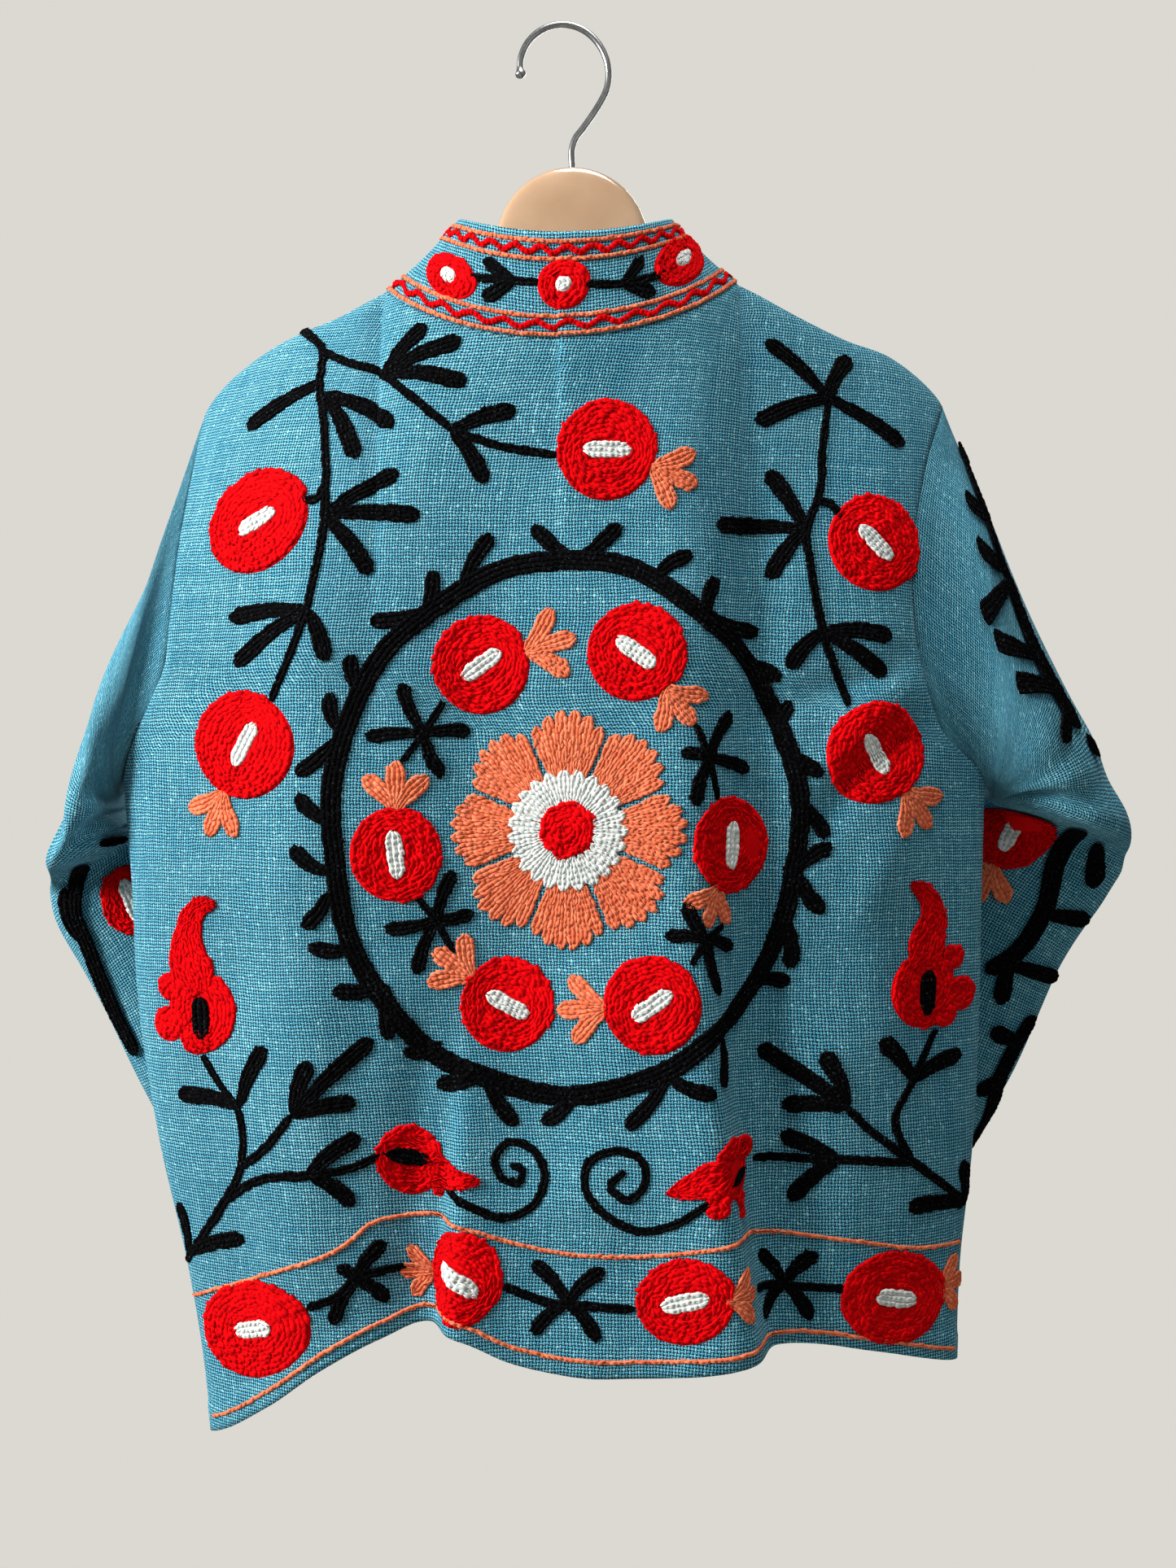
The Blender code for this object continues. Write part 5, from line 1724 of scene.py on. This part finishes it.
# %% The hanger
ARM = columns(
    "away height drop",
    (0, 50, 0), (60, 44, 0), (150, 37, 0), (203, 33, 0), (213, 29, 3), (219, 18, 9),
)
ARM_RING, ARM_SECTIONS = 48, 160
TALL_POWER, THICK_POWER = 0.7, 0.45
FULL_HEIGHT, THINNEST = 30.0, 0.5
DOME_BLEND = 1.5


def hanger_mesh():
    """Section at x: half sizes times a signed power of sine and cosine."""
    turn = np.linspace(-1, 1, ARM_SECTIONS)
    x = HANGER.middle_x + HANGER.half_length * np.sin(turn * math.pi / 2)
    away = np.abs(x - HANGER.middle_x)
    height = smooth(ARM.away, ARM.height, away)
    line = HANGER.arm_top - HANGER.slope * away
    dome = HANGER.dome_top - HANGER.dome_radius
    dome = dome + np.sqrt(np.maximum(HANGER.dome_radius**2 - away**2, 0))
    blended = np.logaddexp(line / DOME_BLEND, dome / DOME_BLEND) * DOME_BLEND
    top = np.where(away < HANGER.dome_radius, blended, line) - smooth(ARM.away, ARM.drop, away)
    bottom = line - height
    angle = np.arange(ARM_RING) * 2 * math.pi / ARM_RING
    tall = np.sign(np.sin(angle)) * np.abs(np.sin(angle)) ** TALL_POWER
    thick = np.sign(np.cos(angle)) * np.abs(np.cos(angle)) ** THICK_POWER
    slim = np.clip(height / FULL_HEIGHT, THINNEST, 1)
    rows = np.empty((ARM_SECTIONS, ARM_RING, 3))
    rows[..., 0] = x[:, None]
    rows[..., 1] = arm_y(x)[:, None] + HANGER.thickness / 2 * slim[:, None] * thick
    rows[..., 2] = ((top + bottom) / 2)[:, None] + ((top - bottom) / 2)[:, None] * tall
    faces = [corners[:, ::-1] for corners in tube_faces(ARM_SECTIONS, ARM_RING)]
    return make_mesh("hanger_shell", rows.reshape(-1, 3), faces)


hanger = hanger_mesh()
hanger.data.materials.append(plastic_finish)
print("hanger faces:", len(hanger.data.polygons))

# %% The hook
HOOK_CENTRE_Z = -26.0
HOOK_TURN = columns("angle radius", (-33, 30.5), (20, 28), (90, 28), (150, 26.5), (192, 25))
HOOK_NECK = [(13, -62), (8.5, -68), (6.5, -74), (6.5, -86)]
HOOK_FOOT = -100.2
HOOK_STEPS, HOOK_FINE, HOOK_SECTIONS, HOOK_RING = 90, 900, 180, 18
WIRE = 4.0
TIP = SimpleNamespace(length=2.4, bead=0.7, bead_at=2.6, bead_reach=2.2)


def hook_mesh():
    """A circle of the wire's radius along the turn and the neck, swollen to a bead at its tip."""
    angle = np.linspace(HOOK_TURN.angle[-1], HOOK_TURN.angle[0], HOOK_STEPS)
    radius = smooth(HOOK_TURN.angle, HOOK_TURN.radius, angle)
    turn = np.radians(angle)
    bend = np.stack([radius * np.cos(turn), HOOK_CENTRE_Z + radius * np.sin(turn)], axis=1)
    path = np.concatenate([bend, np.array(HOOK_NECK + [(HANGER.middle_x, HOOK_FOOT)], float)])
    length = lengths(path)
    path = smooth(length, path, np.linspace(0, length[-1], HOOK_FINE))
    path = spread(path, np.linspace(0, 1, HOOK_SECTIONS))
    across = square_to(path)
    length = lengths(path)
    bead = TIP.bead * np.exp(-(((length - TIP.bead_at) / TIP.bead_reach) ** 2))
    round_tip = np.sqrt(np.clip(1 - (1 - np.minimum(length / TIP.length, 1)) ** 2, 0.02, 1))
    size = WIRE / 2 * (1 + bead) * round_tip
    around = np.arange(HOOK_RING) * 2 * math.pi / HOOK_RING
    rows = np.empty((len(path), HOOK_RING, 3))
    swing = size[:, None] * np.cos(around)
    rows[..., 0] = path[:, :1] + across[:, :1] * swing
    rows[..., 2] = path[:, 1:] + across[:, 1:] * swing
    rows[..., 1] = size[:, None] * np.sin(around)
    return make_mesh("hook_wire", rows.reshape(-1, 3), tube_faces(len(path), HOOK_RING))


hook = hook_mesh()
hook.data.materials.append(wire_finish)
print("hook faces:", len(hook.data.polygons))


# %% [markdown]
# ## Sewing it all on
#
# Each group of wool becomes one mesh, with its colour's finish. The groups on the back and
# collar stand for the plain raised solids of the packed model.

# %% Meshes of wool
def named(start):
    """Nodes of the packed model whose names start like this."""
    return [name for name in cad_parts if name.startswith(start)]


STANDS_FOR = {
    ("back", "red", "discs"): named("pomegranate"),
    ("back", "red", "peppers"): named("pepper"),
    ("back", "black", "ring"): ["ring"],
    ("back", "coral", "flower"): ["rosette"],
    ("collar", "red", "discs"): named("collar_disc"),
}
total = 0
for (piece, colour, part), group in WOOLS.items():
    obj = group.mesh("wool_%s_%s_%s" % (piece, colour, part))
    obj.data.materials.append(wools[colour])
    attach(obj, "root")
    if (piece, colour, part) in STANDS_FOR:
        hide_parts(*STANDS_FOR[piece, colour, part])
    triangles = sum(len(p.vertices) - 2 for p in obj.data.polygons)
    total += triangles
    print(obj.name, "loops:", sum(len(row) for row in group.loops), "triangles:", triangles)
print("triangles of wool:", total)


# %% [markdown]
# ## Joining the frame
#
# Each cloth piece takes the cotton, and every piece is joined to the root and hides the packed
# solid it stands for. The table also gives each sheet's flat size in metres, its longest row by
# its longest column, the area of one side in square metres and the pieces it rests on; these
# are not used.

# %% Pieces, nodes and cut sizes
FRONT_LEFT, FRONT_RIGHT = "front_cloth_left", "front_cloth_right"
CUT = {
    "back": ("back_panel", (0.61, 0.67), 0.33, ["hanger_shell"]),
    "front_left": ("front_left", (0.30, 0.66), 0.15, ["hanger_shell"]),
    "front_right": ("front_right", (0.31, 0.66), 0.15, ["hanger_shell"]),
    "sleeve_left": ("sleeve_left", (0.53, 0.60), 0.13, ["back_cloth", FRONT_LEFT]),
    "sleeve_right": ("sleeve_right", (0.57, 0.61), 0.16, ["back_cloth", FRONT_RIGHT]),
    "collar": ("collar", (0.57, 0.065), 0.028, ["back_cloth", FRONT_LEFT, FRONT_RIGHT]),
}
for name, (node, flat, area, rests_on) in CUT.items():
    piece = pieces[name]
    piece.data.materials.append(cotton_finish)
    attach(piece, "root")
    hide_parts(node)
for piece, node, slot in (
    (hanger, "hanger_body", "tan_plastic"),
    (hook, "hanger_hook", "steel_wire"),
):
    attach(piece, "root")
    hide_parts(node)
print("cloth pieces declared:", len(CUT))


# %% [markdown]
# ## Floor, light and camera
#
# The camera looks straight at the back, with a pale background all round. A strong soft light
# from the upper left shapes the folds, and one overhead lights the shoulders. A weak one
# fills from the right, and the last lights the fronts for a look from the other side. The
# floor is a disc well below the hem.

# %% Stage
FLOOR_Z, FLOOR_RADIUS, FLOOR_CORNERS = -1250.0, 620.0, 96


def floor_mesh():
    angle = np.arange(FLOOR_CORNERS) * 2 * math.pi / FLOOR_CORNERS
    ring = np.stack([np.cos(angle), np.sin(angle), np.zeros(len(angle))], axis=1) * FLOOR_RADIUS
    ring[:, 2] = FLOOR_Z
    return make_mesh("floor", ring, [np.arange(FLOOR_CORNERS)[None, :]])


floor = floor_mesh()
ground = Finish("pale_floor", Roughness=0.9)
speckle = ground.noise(ground.node("TexCoord").outputs["Object"], 60.0, 4.0)
floor_colour = ground.blend(speckle, paint(184, 180, 172), paint(196, 192, 184))
ground.feed(ground.shader.inputs["Base Color"], floor_colour)
floor.data.materials.append(ground.material)

world = bpy.data.worlds.new("pale_background")
bpy.context.scene.world = world
world.use_nodes = True
PALE, ROOM_LIGHT = paint(219, 217, 210), 0.3


def light_the_world():
    """The camera sees the pale background; the cloth is lit by the same colour, dimmer."""
    tree = world.node_tree
    seen_by_eye = tree.nodes.new("ShaderNodeLightPath").outputs["Is Camera Ray"]
    strength = tree.nodes.new("ShaderNodeMapRange")
    strength.inputs["To Min"].default_value = ROOM_LIGHT
    strength.inputs["To Max"].default_value = 1.0
    tree.links.new(seen_by_eye, strength.inputs["Value"])
    background = tree.nodes["Background"]
    background.inputs["Color"].default_value = PALE
    tree.links.new(strength.outputs["Result"], background.inputs["Strength"])


light_the_world()
JACKET_MIDDLE = np.array([0.0, 0.0, -0.45])


def lamp(name, place, size, power, colour):
    """A square soft light that looks at the middle of the jacket."""
    light = bpy.data.lights.new(name, "AREA")
    light.size, light.energy, light.color = size, power, colour
    holder = bpy.data.objects.new(name, light)
    bpy.context.scene.collection.objects.link(holder)
    from_middle = np.array(place) - JACKET_MIDDLE
    turn = math.atan2(from_middle[0], -from_middle[1])
    tilt = math.acos(from_middle[2] / np.linalg.norm(from_middle))
    holder.location = place
    holder.rotation_euler = (tilt, 0, turn)


lamp("upper_left", (-1.95, -0.8, 0.25), 0.6, 90, (1.0, 0.98, 0.95))
lamp("overhead", (0.15, -0.45, 1.25), 0.8, 24, (1.0, 0.99, 0.97))
lamp("right_fill", (1.4, -1.5, -0.3), 1.2, 2, (0.93, 0.97, 1.0))
lamp("front_fill", (0.5, 1.9, 0.3), 1.2, 22, (1.0, 0.99, 0.97))

SENSOR_HEIGHT, LENS = 36.0, 37.36
camera = bpy.data.objects.new("camera", bpy.data.cameras.new("camera"))
bpy.context.scene.collection.objects.link(camera)
camera.data.sensor_fit = "VERTICAL"
camera.data.sensor_height = SENSOR_HEIGHT
camera.data.lens = LENS
camera.location = EYE * MM
camera.rotation_euler = (math.pi / 2, 0, 0)
bpy.context.scene.camera = camera
bpy.context.scene.view_settings.view_transform = "Standard"
print("camera at", tuple(round(value, 3) for value in camera.location))


# %% [markdown]
# The dressed jacket has to stay inside the packed one's box, give or take a few millimetres.
